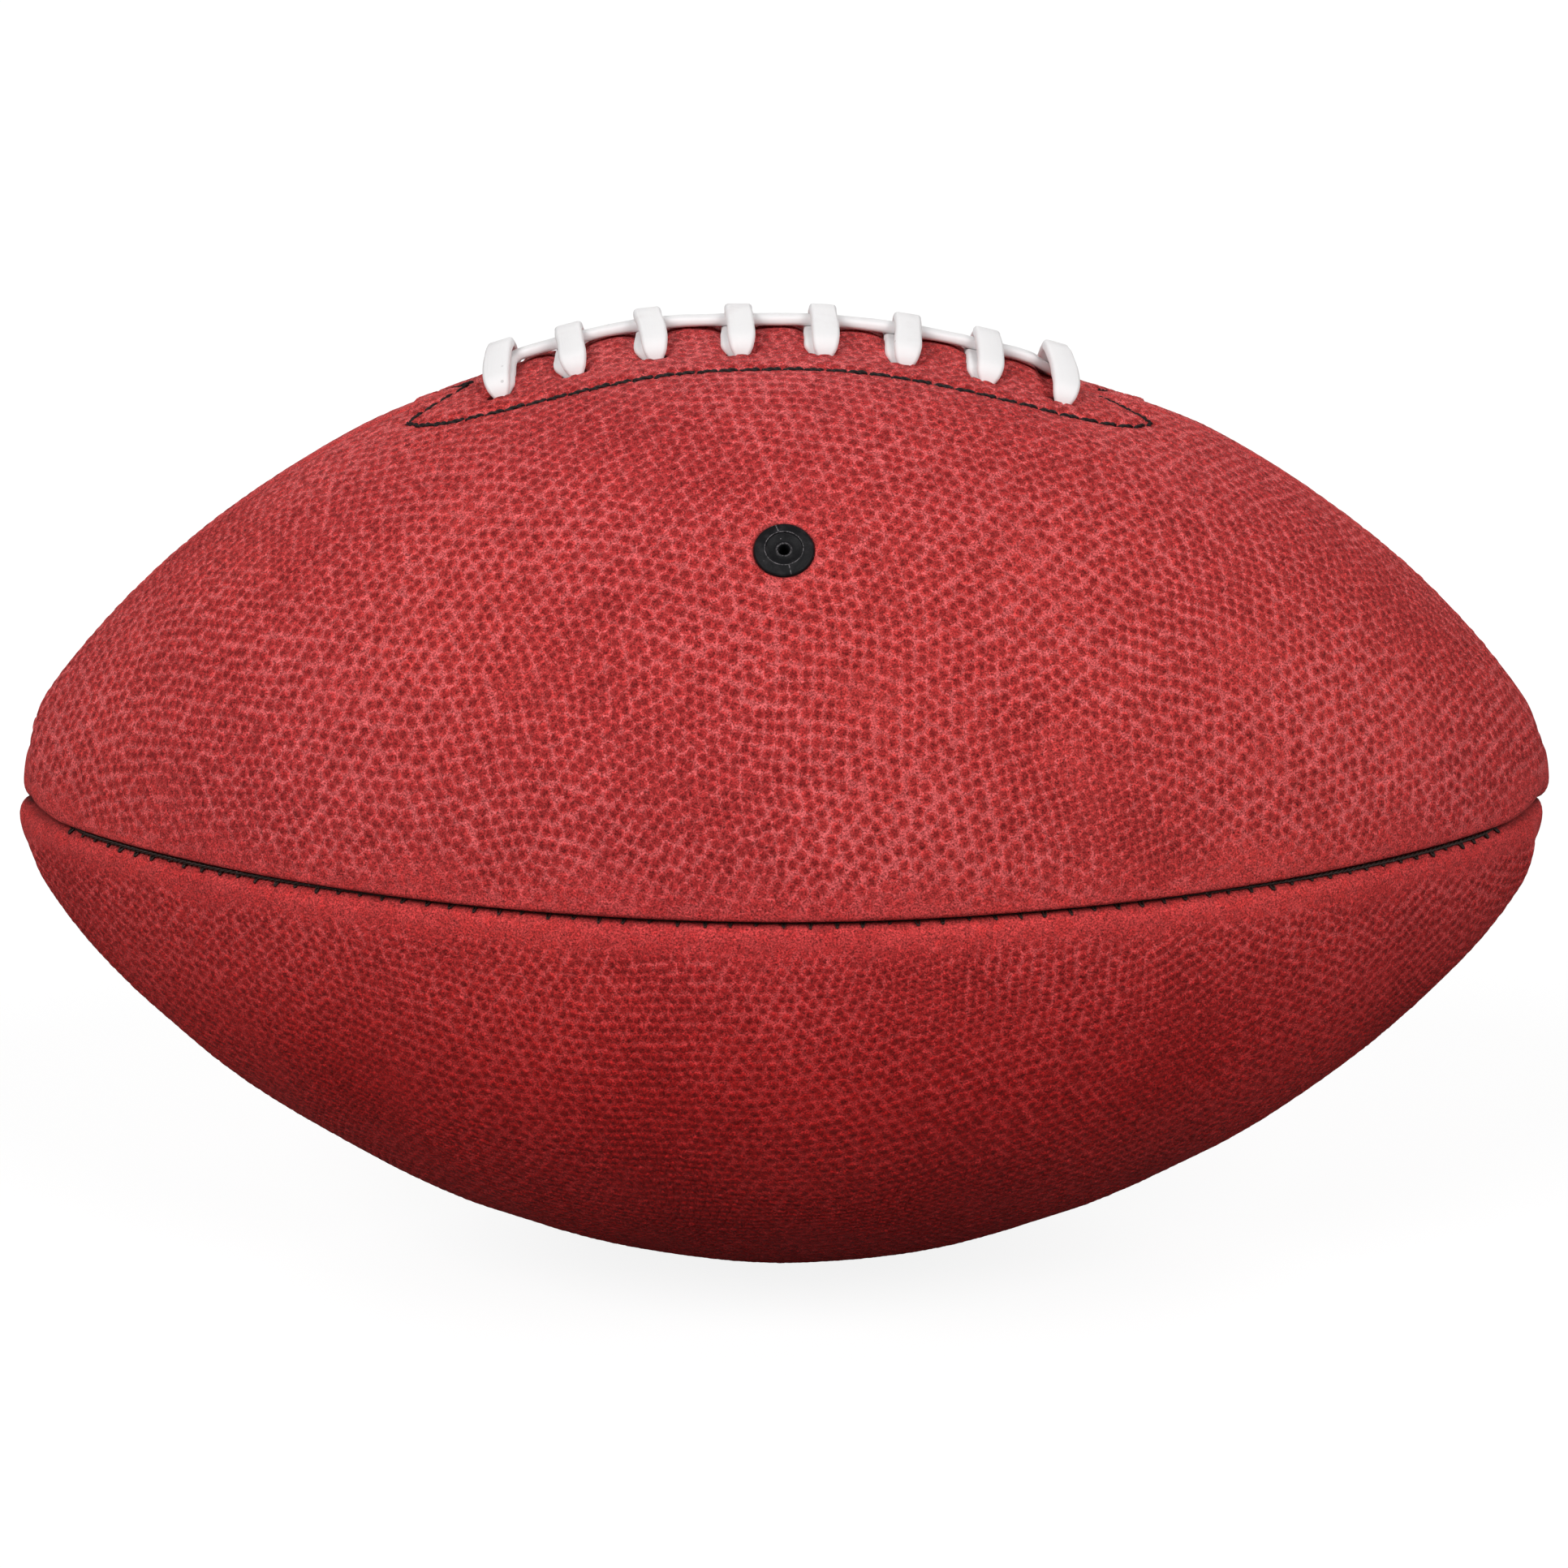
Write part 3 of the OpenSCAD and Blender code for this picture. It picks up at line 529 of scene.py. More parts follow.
def from_opening(p, theta, hole):
    """Distance of points from the rim of a hole, by the superellipse through them."""
    dx = np.abs(p - hole.p) / hole.half_len
    ds = np.abs(theta - hole.theta) * at(hole.p, "r") / hole.half_width
    return ((dx ** hole.power + ds ** hole.power) ** (1 / hole.power) - 1) * min(hole.half_len, hole.half_width)


def opening_rim(hole):
    """Length and turn of the points of a hole's rim: a superellipse round its centre."""
    a = np.arange(hole.corners) * TURN / hole.corners
    dx, ds = (half * np.sign(wave) * np.abs(wave) ** (2 / hole.power)
              for half, wave in ((hole.half_len, np.cos(a)), (hole.half_width, np.sin(a))))
    return hole.p + dx, hole.theta + ds / at(hole.p, "r")


def waves(flat, seed, size, length):
    """Soft noise over the flat pattern: a sum of eight sine waves with drawn directions, phases and
    lengths."""
    draw = np.random.default_rng(seed)
    angle, phase = draw.uniform(0, TURN, (2, 8))
    pace = TURN / (length * draw.uniform(0.7, 1.6, 8))
    turn = flat[..., :1] * np.cos(angle) * pace + flat[..., 1:] * np.sin(angle) * pace + phase
    return size * np.sin(turn).sum(-1) / 2.8


def bulge(x, s):
    """How much the leather swells between the rungs of the lace: up from each rung as a quarter of an ellipse, and
    run out smoothly away from the seam."""
    rungs = station_x(np.arange(BANDS)) + np.array(HOLE_SHIFT) + np.array(UNDER_SHIFT)
    v = np.clip((np.abs(x[..., None] - rungs).min(-1) - RUNG_CLEAR) / BULGE_RUN, 0, 1)
    between_rungs = np.where((x > rungs[0]) & (x < rungs[-1]), np.sqrt(v * (2 - v)), 0)
    return BULGE * between_rungs * (1 - smooth(s / BULGE_REACH))


def relief(p, theta, laced, holes, seed):
    """Height of the leather over the plain ball: slow waves, the raised facing and its sewn groove, the swelling
    between the rungs, and bell curves of the distance to each hole, with creases round a lace hole."""
    height = waves(spread(p, theta), seed, *SLOW_WAVES)
    if laced:
        x, s = at(p, "x"), at(p, "r") * theta
        near = (np.abs(x) < FACING_BOX[0]) & (s < FACING_BOX[1])
        gap, inside = line_distance(x[near], s[near])
        local = FACING_RISE * np.where(inside, smooth(gap / FACING_RUN), 0) - GROOVE_DEPTH * bell(gap, GROOVE_WIDTH)
        height[near] += local * smooth((s[near] - FACING_FROM) / FACING_RUN)
        height += bulge(x, s)
    for hole in holes:
        gap = np.maximum(from_opening(p, theta, hole), 0)
        of_lace = hole.power > 2
        rings = sum(rise * bell(gap - far, width) for rise, far, width in (PUCKER if of_lace else VALVE_SEAT))
        if of_lace:
            turn = np.arctan2((theta - hole.theta) * at(hole.p, "r"), p - hole.p)
            rise, far, width = CREASE
            rings = rings + rise * np.cos(CREASES * turn + hole.p) * bell(gap - far, width)
        height += rings
    return height


def pebble_fade(p, theta, laced, holes, seed):
    """Share of the full pebbling: none on the rolled edges, growing over a band, and less in worn patches, round
    the holes and at the tips."""
    r = at(p, "r")
    low, high = r * theta, r * (math.pi / 2 - theta)
    (low_from, low_run), (high_from, high_run) = UPPER_FADE if laced else LOWER_FADE
    fade = smooth((low - low_from) / low_run) * smooth((high - high_from) / high_run)
    if laced:
        fade *= SIDE_FADE_LEAST + (1 - SIDE_FADE_LEAST) * smooth((high - SIDE_FADE[0]) / SIDE_FADE[1])
    fade *= np.clip(WORN_MEAN + waves(spread(p, theta), seed + 50, *WORN_WAVES), WORN_LEAST, 1)
    for hole in holes:
        gap = np.maximum(from_opening(p, theta, hole), 0)
        fade *= 0.5 + 0.5 * smooth(gap / HOLE_FADE_RUN)
    return fade * smooth((P_END - np.abs(p) - TIP_FADE[0]) / TIP_FADE[1])


def honeycomb(pitch, angle, seed):
    """Centres of a honeycomb turned by an angle: the row number adds half a step along and 0.87 of a step
    across. Drawn jitter and slow waves loosen the rows."""
    rows = int(HONEYCOMB_SPARE * P_END / pitch / ROW_STEP) + 2
    cols = int(HONEYCOMB_SPARE * P_END / pitch) + rows // 2 + 2
    i, j = np.meshgrid(np.arange(-rows, rows + 1), np.arange(-cols, cols + 1), indexing="ij")
    centres = np.stack([j + i / 2, i * ROW_STEP], -1) * pitch
    c, s = math.cos(angle), math.sin(angle)
    centres = centres @ np.array([[c, s], [-s, c]])
    draw = np.random.default_rng(seed)
    centres += draw.uniform(-PEBBLE_JITTER, PEBBLE_JITTER, centres.shape) * pitch
    return centres + np.stack([waves(centres, seed + k, *ROW_WAVES) for k in (1, 2)], -1)


def cell_corners(centres):
    """Corners of a honeycomb, each the mean of three neighbouring centres, and the numbers of the six corners
    of every inner cell in turning order."""
    up = (centres[:-1, :-1] + centres[:-1, 1:] + centres[1:, :-1]) / 3
    down = (centres[:-1, 1:] + centres[1:, 1:] + centres[1:, :-1]) / 3
    a = np.arange(up[..., 0].size).reshape(up.shape[:2])
    b = a + a.size
    six = np.stack([a[1:, 1:], b[1:, :-1], a[1:, :-1], b[:-1, :-1], a[:-1, 1:], b[:-1, 1:]], -1)
    return np.concatenate([up.reshape(-1, 2), down.reshape(-1, 2)]), six.reshape(-1, 6)


def lies_clear(flat, laced, holes, margin):
    """Whether points of the flat pattern lie on the flat of the panel, clear of its edges, tips and holes."""
    p, theta = gather(flat)
    low, high = (edge_turn(p, edge_roll(p, laced, side)) for side in (0, 1))
    gap = np.minimum(theta - low, math.pi / 2 - theta - high) * at(p, "r")
    clear = (gap > margin) & (np.abs(p) < P_NOSE - margin)
    for hole in holes:
        clear &= from_opening(p, theta, hole) > margin
    return clear


def edge_rows(p, wanted, laced_side):
    """Distance from the seam and depth of a panel's edge for each length p, from the flat over the roll to the
    turned-in flange, and back inside it."""
    rho = roll_of(at(p, "r"))[:, None]
    outer = roll_of(at(p, "r"), wanted)[:, None]
    wall = np.minimum(LEATHER_T, WALL_SHARE * rho)
    short = dip_along(at(p, "x"))[:, None] if laced_side else 0
    full = rho + TURN_IN * (1 - short) + LACING_TURN_IN * short
    full = np.maximum(np.minimum(full, FLANGE_SHARE * at(p, "r")[:, None]), rho)
    f = np.linspace(0, math.pi / 2, 7)[None]
    g = np.array([[math.pi / 2, math.pi / 4, 0]])
    across = np.concatenate([outer * (1 - np.sin(f)), 0 * rho, wall, wall + (rho - wall) * (1 - np.sin(g))], 1)
    depth = np.concatenate([outer * (1 - np.cos(f)), full, full, wall + (rho - wall) * (1 - np.cos(g))], 1)
    return gap_at(p)[:, None] + across, depth


def knot_number(p, pitch):
    """Count of cross threads in a seam from its middle to a length p: they lie closer towards the tips, as the
    cube of the length."""
    return p / pitch * (1 + KNOT_CROWDING * (p / P_END) ** 2)


def edge_strips(laced, seam_pitch):
    """Lengths, turns and depths of both edges of a panel. Each cross thread pulls the rolled edge in a little,
    as the fourth power of a cosine along the seam."""
    u = np.linspace(-1, 1, EDGE_COLUMNS)
    p = P_END * (0.7 * u + 0.3 * np.sin(math.pi * u / 2))
    pull = np.cos(math.pi * knot_number(p, seam_pitch))[:, None] ** 4 * (np.abs(at(p, "x")) < SEAM_REACH)[:, None]
    turns, depths = [], []
    for side in (0, 1):
        across, depth = edge_rows(p, edge_roll(p, laced, side), laced and side == 0)
        theta = np.arcsin(np.minimum(across / at(p, "r")[:, None], 0.95))
        rows = np.minimum(np.arange(depth.shape[1]), ROLL_ROWS - 1) / (ROLL_ROWS - 1)
        turns.append(theta if side == 0 else math.pi / 2 - theta)
        depths.append(depth + (UPPER_PULL if laced else LOWER_PULL) * pull * np.sin(rows * math.pi))
    return p, np.stack(turns), np.stack(depths)


def border_of(polygons):
    """Edges that only one of the polygons has, in its turning order."""
    edges = np.stack([polygons, np.roll(polygons, -1, 1)], -1).reshape(-1, 2)
    key = np.sort(edges, 1)
    _, first, count = np.unique(key[:, 0] * (key.max() + 1) + key[:, 1], return_index=True, return_counts=True)
    return edges[first[count == 1]]


def pick_cells(corners, six, middles, kept):
    """Some of the cells, with only the corners that they use."""
    used, numbers = np.unique(six[kept], return_inverse=True)
    return corners[used], numbers.reshape(-1, 6), middles[kept]


def panel_cells(laced, holes, seed, angle, pitch):
    """Cells of a panel's pebbled face that lie clear of its edges and holes: all corners, the numbers of the six
    corners of each cell, and the middles."""
    centres = honeycomb(pitch, angle, seed)
    corners, six = cell_corners(centres)
    middles = centres[1:-1, 1:-1].reshape(-1, 2)
    likely = (np.abs(middles[:, 1]) < BALL_R * math.pi / 4) & (np.abs(middles[:, 0]) < P_END)
    corners, six, middles = pick_cells(corners, six, middles, likely)
    corners_clear = lies_clear(corners, laced, holes, CORNER_CLEAR)[six].all(1)
    return pick_cells(corners, six, middles, lies_clear(middles, laced, holes, MIDDLE_CLEAR) & corners_clear)


def inner_points(holes):
    """Lengths and turns of a wide grid of points on a panel's inner face, clear of the holes."""
    p, share = np.meshgrid(np.arange(-P_NOSE + 4, P_NOSE - 3, INNER_STEP), INNER_SHARES, indexing="ij")
    low = edge_turn(p)
    theta = (low + (math.pi / 2 - 2 * low) * share).ravel()
    p = p.ravel()
    clear = np.ones(len(p), bool)
    for hole in holes:
        clear &= from_opening(p, theta, hole) > INNER_CLEAR
    return p[clear], theta[clear]


def panel_mesh(laced, valved, seed, angle, pitch, height, seam_pitch, valve_r):
    """Closed shell of the upper back panel: points, faces, values of the points and places within the pebbles.
    The face is a honeycomb of low pebbles, joined to strips that roll over the edges and turn in, to the walls of
    the holes, and to a plain inner face."""
    holes = openings(laced, valved, valve_r)
    draw = np.random.default_rng(seed + 9)
    corners, six, middles = panel_cells(laced, holes, seed, angle, pitch)

    # A full cell has a raised ring inside it, and a worn one only a middle point
    fade = pebble_fade(*gather(middles), laced, holes, seed)
    full = fade > WORN_FADE
    size = draw.uniform(*RING_SIZE, (full.sum(), 1)) * draw.uniform(*RING_UNEVEN, (full.sum(), 6))
    rings = middles[full][:, None] + size[..., None] * (corners[six[full]] - middles[full][:, None])
    flats = [corners, rings.reshape(-1, 2), middles[full], middles[~full]]
    face_p, face_turn = (np.concatenate(group) for group in zip(*map(gather, flats)))

    # Edge strips, hole rims and loose points that carry the round of the nose
    strip_p, strip_turn, strip_depth = edge_strips(laced, seam_pitch)
    nose_p = strip_p[np.abs(strip_p) > P_NOSE - 0.3]
    low, high = (edge_turn(nose_p, edge_roll(nose_p, laced, side))[:, None] for side in (0, 1))
    nose_turn = low + (math.pi / 2 - low - high) * NOSE_SHARES
    rims = [opening_rim(hole) for hole in holes]
    lengths = [face_p, np.broadcast_to(strip_p[None, :, None], strip_turn.shape).ravel(),
               np.broadcast_to(nose_p[:, None], nose_turn.shape).ravel()] + [rim[0] for rim in rims]
    all_p = np.concatenate(lengths)
    all_turn = np.concatenate([face_turn, strip_turn.ravel(), nose_turn.ravel()] + [rim[1] for rim in rims])
    ends = np.cumsum([len(group) for group in lengths])[:-1]
    face, strip, loose, *rim_loops = np.split(np.arange(len(all_p)), ends)
    strip = strip.reshape(strip_turn.shape)
    near, far = strip

    # Fill between the cells, the strips and the rims, in the flat pattern
    outer_loop = np.concatenate([near[:, 0], far[::-1, 0]])
    edges = np.concatenate([border_of(six), loop_edges(outer_loop)] + [loop_edges(loop) for loop in rim_loops])
    numbers = np.unique(np.concatenate([edges.ravel(), loose]))
    fill = numbers[fill_flat(spread(all_p[numbers], all_turn[numbers]), np.searchsorted(numbers, edges))]

    # Heights: relief everywhere on the outside, less on the roll, and pebbles on the cells
    rows = np.arange(strip_turn.shape[2])
    roll = np.minimum(rows, ROLL_ROWS - 1) / (ROLL_ROWS - 1)
    bump = relief(all_p, all_turn, laced, holes, seed)
    bump[strip] *= (1 - roll) * (rows < ROLL_ROWS)
    depth = -bump
    depth[strip] += strip_depth
    corner_at, ring_at, crown_at, plain_at = np.split(face, np.cumsum([len(group) for group in flats])[:-1])
    ring_at = ring_at.reshape(-1, 6)
    fade_corner = pebble_fade(face_p[corner_at], face_turn[corner_at], laced, holes, seed)
    lift = draw.uniform(*PEBBLE_LIFT, full.sum())
    depth[corner_at] += GROOVE_SHARE * height * fade_corner
    depth[ring_at] -= (height * fade[full] * lift)[:, None]
    depth[crown_at] -= CROWN_SHARE * height * fade[full] * lift
    depth[plain_at] -= height * fade[~full]

    # How far the pebbles are grown, and how far the leather is folded in, which sets the painted shade of the
    # rolled-in edges; the hole rims get a fixed share of painted shade
    fades, folds = np.zeros((2, len(all_p)))
    fades[face] = np.concatenate([fade_corner, np.repeat(fade[full], 6), fade[full], fade[~full]])
    folds[strip] = roll
    for loop in rim_loops:
        folds[loop] = RIM_PAINTED_SHADE

    # Faces of the cells and strips, and the caps between the strips at the tips
    ring_next, six_next = np.roll(ring_at, -1, 1), np.roll(six, -1, 1)
    annulus = np.stack([six[full], six_next[full], ring_next, ring_at], -1).reshape(-1, 4)
    crowns = np.stack([ring_at, ring_next, np.repeat(crown_at[:, None], 6, 1)], -1).reshape(-1, 3)
    fans = np.stack([six[~full], six_next[~full], np.repeat(plain_at[:, None], 6, 1)], -1).reshape(-1, 3)
    quads = [annulus, grid_faces(near)[:, ::-1], grid_faces(far),
             np.stack([near[-1, :-1], near[-1, 1:], far[-1, 1:], far[-1, :-1]], -1),
             np.stack([near[0, 1:], near[0, :-1], far[0, :-1], far[0, 1:]], -1)]

    # Walls of the holes
    points, total = [skin(all_p, all_turn, depth, laced)], len(all_p)
    inner_loop = np.concatenate([near[:, -1], far[::-1, -1]])
    inner = [(all_p[inner_loop], all_turn[inner_loop], inner_loop)]
    for hole, loop in zip(holes, rim_loops):
        wall_rows = [loop]
        for inset, level in HOLE_WALL:
            p, theta = opening_rim(hole._replace(half_len=hole.half_len - inset,
                                                 half_width=hole.half_width - inset))
            points.append(skin(p, theta, np.full(len(loop), level), laced))
            wall_rows.append(total + np.arange(len(loop)))
            total += len(loop)
        inner.append((p, theta, wall_rows[-1]))
        quads.append(grid_faces(np.stack(wall_rows), wrap_v=True)[:, ::-1])

    # Plain inner face, within the flanges and round the walls of the holes
    p, theta = inner_points(holes)
    points.append(skin(p, theta, np.minimum(LEATHER_T, WALL_SHARE * roll_of(at(p, "r"))), laced))
    inner.append((p, theta, total + np.arange(len(p))))
    ends = np.cumsum([0] + [len(group[0]) for group in inner])
    loops = np.concatenate([loop_edges(np.arange(*span)) for span in zip(ends[:-2], ends[1:-1])])
    p, theta, numbers = (np.concatenate(group) for group in zip(*inner))
    plain = np.concatenate([fill, numbers[fill_flat(spread(p, theta), loops)][:, ::-1]])

    # Places within the pebbles, and only the points that a face uses
    flats, quads = np.concatenate(flats), np.concatenate(quads)
    places = [((flats[group] - np.repeat(middles[part], 6, 0)[:, None]) / pitch).reshape(-1, 2)
              for group, part in ((annulus, full), (crowns, full), (fans, ~full))]
    cells = np.concatenate([places[0], np.full((quads.size - annulus.size, 2), OFF_CELL), places[1], places[2],
                            np.full((plain.size, 2), OFF_CELL)])
    polygons = [quads, crowns, fans, plain]
    points = np.concatenate(points)
    extra = (0, len(points) - len(all_p))
    # The walls of the holes and the inner face get full painted shade
    fades, folds = np.pad(fades, extra), np.pad(folds, extra, constant_values=1.0)
    used, numbers = np.unique(np.concatenate([group.ravel() for group in polygons]), return_inverse=True)
    polygons = [part.reshape(-1, group.shape[1]) for part, group in zip(split_like(numbers, polygons), polygons)]
    return points[used], polygons, {"fade": fades[used], "fold": folds[used]}, cells


# Lace

LACE_T = 1.7
LACE_LIFT = 0.05
LACE_GAP = 0.05
NECK_SHARE = 0.5
NECK_FROM = 0.09
LAYER = LACE_T + LACE_GAP
BEND_R = 1.5
LONG_TURN_R = 4.0
LOW_H = LACE_LIFT + LACE_T / 2
MID_H = LOW_H + LAYER
HIGH_H = MID_H + LAYER
BEND_H = LOW_H - BEND_R
BEND_S = HOLE_REACH - LAYER / 2 - BEND_R
INNER_DEPTH = 5.01
HOLE_BOTTOM_H = BEND_R - INNER_DEPTH
RUNG, BAND = 0, 1
LAST = BANDS - 1

# Turns of the rings in the bends: over a hole's rim in quarter circles, and under it in radians. Then how the long
# strand rises and falls in its turns, its height and room there, and the room at the shoulders of a band
OUTER_STEPS = (0, 0.06, 0.12, 0.2, 0.35, 0.65, 1)
INNER_STEPS = (0, 0.7, 1.4)
STRAND_RISE = (0, 1 / 16, 1 / 4, 1 / 2)
STRAND_FALL = (0, 1 / 16, 1 / 4, 2 / 3)
TURN_RISE = 0.85
TURN_CLEAR = 0.6
SHOULDER_CLEAR = 0.2

# The strap's section and how it is carried along: step, softening of path and width, wander, corners and crown
STRAP_STEP = 0.42
PATH_SOFTENING = 2
WIDTH_SOFTENING = 1
WANDER_WAVES = ((0.31, 0), (0.173, 1), (0.71, 2))
WANDER_WIDTH = 0.012
WANDER_THICKNESS = 0.015
WANDER_OFFSET = 40
STRAP_CORNER = 0.7
STRAP_CROWN = 0.06


def strand_x(i, row, side=-1):
    """Place of a strand in its hole: rungs lie a little to one side, and bands to the other. On the far side the
    bands spread a little towards the ends."""
    if row == BAND and side > 0:
        return station_x(i) * (1 + FAR_SPREAD) + TOP_SHIFT[i]
    return station_x(i) + HOLE_SHIFT[i] + (OVER_SHIFT if row == BAND else UNDER_SHIFT[i])


def end_lift(x):
    """How much higher the long strand lies towards its ends."""
    return END_LIFT[int(x > 0)] * float(smooth((abs(x) - END_LIFT_FROM) / END_LIFT_RUN))


def seam_way(x):
    """Unit direction along the lacing seam at a place x."""
    a = crest_lean(x)
    return np.array([math.cos(a), 0, -math.sin(a)])


def outer_bend(i, row, side, width, order=1):
    """Rings of the strap over the rim of a hole, on a quarter circle from inside the hole to flat on top. Its
    width follows the quarter of an ellipse, so that its end looks round."""
    x, r = strand_x(i, row, side), BEND_R + row * LAYER
    rings = []
    for k in OUTER_STEPS:
        f = k * math.pi / 2
        out = max(k - NECK_FROM, 0) / (1 - NECK_FROM)
        rings.append((station_point(x, side * (BEND_S + r * math.cos(f)), BEND_H + r * math.sin(f)), seam_way(x),
                      width * (NECK_SHARE + (1 - NECK_SHARE) * math.sqrt(out * (2 - out)))))
    return rings[::order]


def inner_bend(i, row, side, j, far, width, order=1):
    """Rings of the strap under a hole, on a circle that turns from the hole's axis towards another hole."""
    x, r = strand_x(i, row, side), BEND_R + row * LAYER
    here = station_point(x, side * HOLE_REACH, HOLE_BOTTOM_H)
    n = unit(station_point(x, side * HOLE_REACH, 1) - station_point(x, side * HOLE_REACH, 0))
    run = station_point(strand_x(j, row, far), far * HOLE_REACH, HOLE_BOTTOM_H) - here
    run = unit(run - (run @ n) * n)
    wide = np.cross(n, run)
    wide = -wide if wide @ seam_way(x) < 0 else wide
    start = BEND_R + LAYER / 2
    rings = [(here + (start - r * math.cos(f)) * run - r * math.sin(f) * n, wide, width * NECK_SHARE)
             for f in INNER_STEPS]
    return rings[::order]


def rung_rings(i, w):
    """Rings of one rung: up through the far hole, across the seam on the leather, and down the near hole."""
    x = strand_x(i, RUNG)
    flat = [(station_point(x, s, LOW_H), seam_way(x), w) for s in (BEND_S / 2, 0, -BEND_S / 2)]
    return (inner_bend(i, RUNG, 1, i - 1, -1, w, -1) + outer_bend(i, RUNG, 1, w) + flat
            + outer_bend(i, RUNG, -1, w, -1) + inner_bend(i, RUNG, -1, i + 1, 1, w))


def band_rings(i, w):
    """Rings of one band: over its rung at both ends and over the long strand in the middle, where its place
    shifts smoothly to that of the band's top."""
    top = station_x(i) + TOP_SHIFT[i]
    shoulder = w / 2 + LACE_GAP + SHOULDER_CLEAR
    middle = (BEND_S + shoulder) / 2
    high, half_way = HIGH_H + TOP_LIFT[i], (MID_H + HIGH_H + TOP_LIFT[i]) / 2
    flat = []
    for s, h in ((middle, half_way), (shoulder, high), (0, high), (-shoulder, high), (-middle, half_way)):
        share = s / BEND_S
        x = top + (strand_x(i, BAND, s) - top) * (share if s > 0 else float(smooth(-share)))
        flat.append((station_point(x, s, h), seam_way(x), w))
    back, ahead = max(i - 1, 0), min(i + 1, LAST)
    return (inner_bend(i, BAND, 1, back, -1, w, -1) + outer_bend(i, BAND, 1, w) + flat
            + outer_bend(i, BAND, -1, w, -1) + inner_bend(i, BAND, -1, ahead, 1, w))


def long_rings(w):
    """Rings of the long strand: a quarter turn off the last rung, a run along the seam over the rungs, and a
    quarter turn down to the first hole."""
    x, u = strand_x(LAST, RUNG), seam_way(strand_x(LAST, RUNG))
    r = LONG_TURN_R
    rings = [(station_point(x, BEND_S / 2 + LACE_T, LOW_H), u, w)]
    for k, rise in enumerate(STRAND_RISE):
        f = k * math.pi / 6
        rings.append((station_point(x, r - r * math.sin(f), LOW_H + rise * (LAYER + end_lift(x)),
                                    r * math.cos(f) - r),
                      math.cos(f) * u - np.array([0, math.sin(f), 0]), w))
    start = strand_x(LAST - 1, RUNG) + w / 2 + TURN_CLEAR
    end = strand_x(0, RUNG) + r + 0.5
    minus_y = np.array([0, -1.0, 0])
    turn_x = (start + x - r) / 2
    rings.append((station_point(turn_x, 0, LOW_H + TURN_RISE * LAYER + end_lift(turn_x)), minus_y, w))
    for place_x in np.linspace(start, end, 2 * (BANDS - 2) + 1):
        rings.append((station_point(place_x, 0, MID_H + end_lift(place_x)), minus_y, w))
    x, u = strand_x(0, RUNG), seam_way(strand_x(0, RUNG))
    for k, fall in enumerate(STRAND_FALL):
        f = k * math.pi / 6
        rings.append((station_point(x, r * math.cos(f) - r, MID_H - fall * LAYER + (1 - fall) * end_lift(x),
                                    r - r * math.sin(f)),
                      math.sin(f) * u - np.array([0, math.cos(f), 0]), w))
    rings.append((station_point(x, -(BEND_S + LACE_T) / 2, LOW_H), u, w))
    return rings + outer_bend(0, RUNG, -1, w, -1) + inner_bend(0, RUNG, -1, 0, 1, w)


def between(a, b):
    """Ring halfway between two rings."""
    return (a[0] + b[0]) / 2, unit(a[1] + b[1]), (a[2] + b[2]) / 2


def lace_rings(w):
    """All rings of the strap in order: rungs, the long strand, and bands, with its ends inside the ball."""
    start = between(inner_bend(0, RUNG, -1, 1, 1, w)[2], inner_bend(1, RUNG, 1, 0, -1, w)[2])
    cross = between(inner_bend(0, RUNG, -1, 0, 1, w)[2], inner_bend(0, BAND, 1, 0, -1, w)[2])
    end = between(inner_bend(LAST, BAND, -1, LAST, 1, w)[2], inner_bend(LAST, BAND, 1, LAST, -1, w)[2])
    rings = [start]
    for i in range(1, LAST):
        rings += rung_rings(i, w)
    rings += inner_bend(LAST, RUNG, 1, LAST - 1, -1, w, -1) + outer_bend(LAST, RUNG, 1, w)
    rings += long_rings(w) + [cross]
    for i in range(BANDS):
        rings += band_rings(i, w)
    return rings + [end]


def soften(values, reach):
    """Weighted running mean along the first axis, with a bell curve of the given reach in steps."""
    k = np.arange(-3 * reach, 3 * reach + 1)
    weight = np.exp(-(k / reach) ** 2 / 2)
    weight /= weight.sum()
    pad = np.pad(values, ((3 * reach, 3 * reach), (0, 0)), mode="edge")
    return np.stack([np.convolve(column, weight, "valid") for column in pad.T], -1)


def strap_section():
    """Rounded rectangle of half size 1 by 1 as shares: the corner number of each point, and its round part."""
    a = (np.arange(4)[:, None] * 90 + np.array([0, 22.5, 45, 67.5, 90])) * math.pi / 180
    sign = np.array([[1, 1], [-1, 1], [-1, -1], [1, -1]])
    return np.repeat(sign, 5, 0), np.stack([np.cos(a), np.sin(a)], -1).reshape(-1, 2)


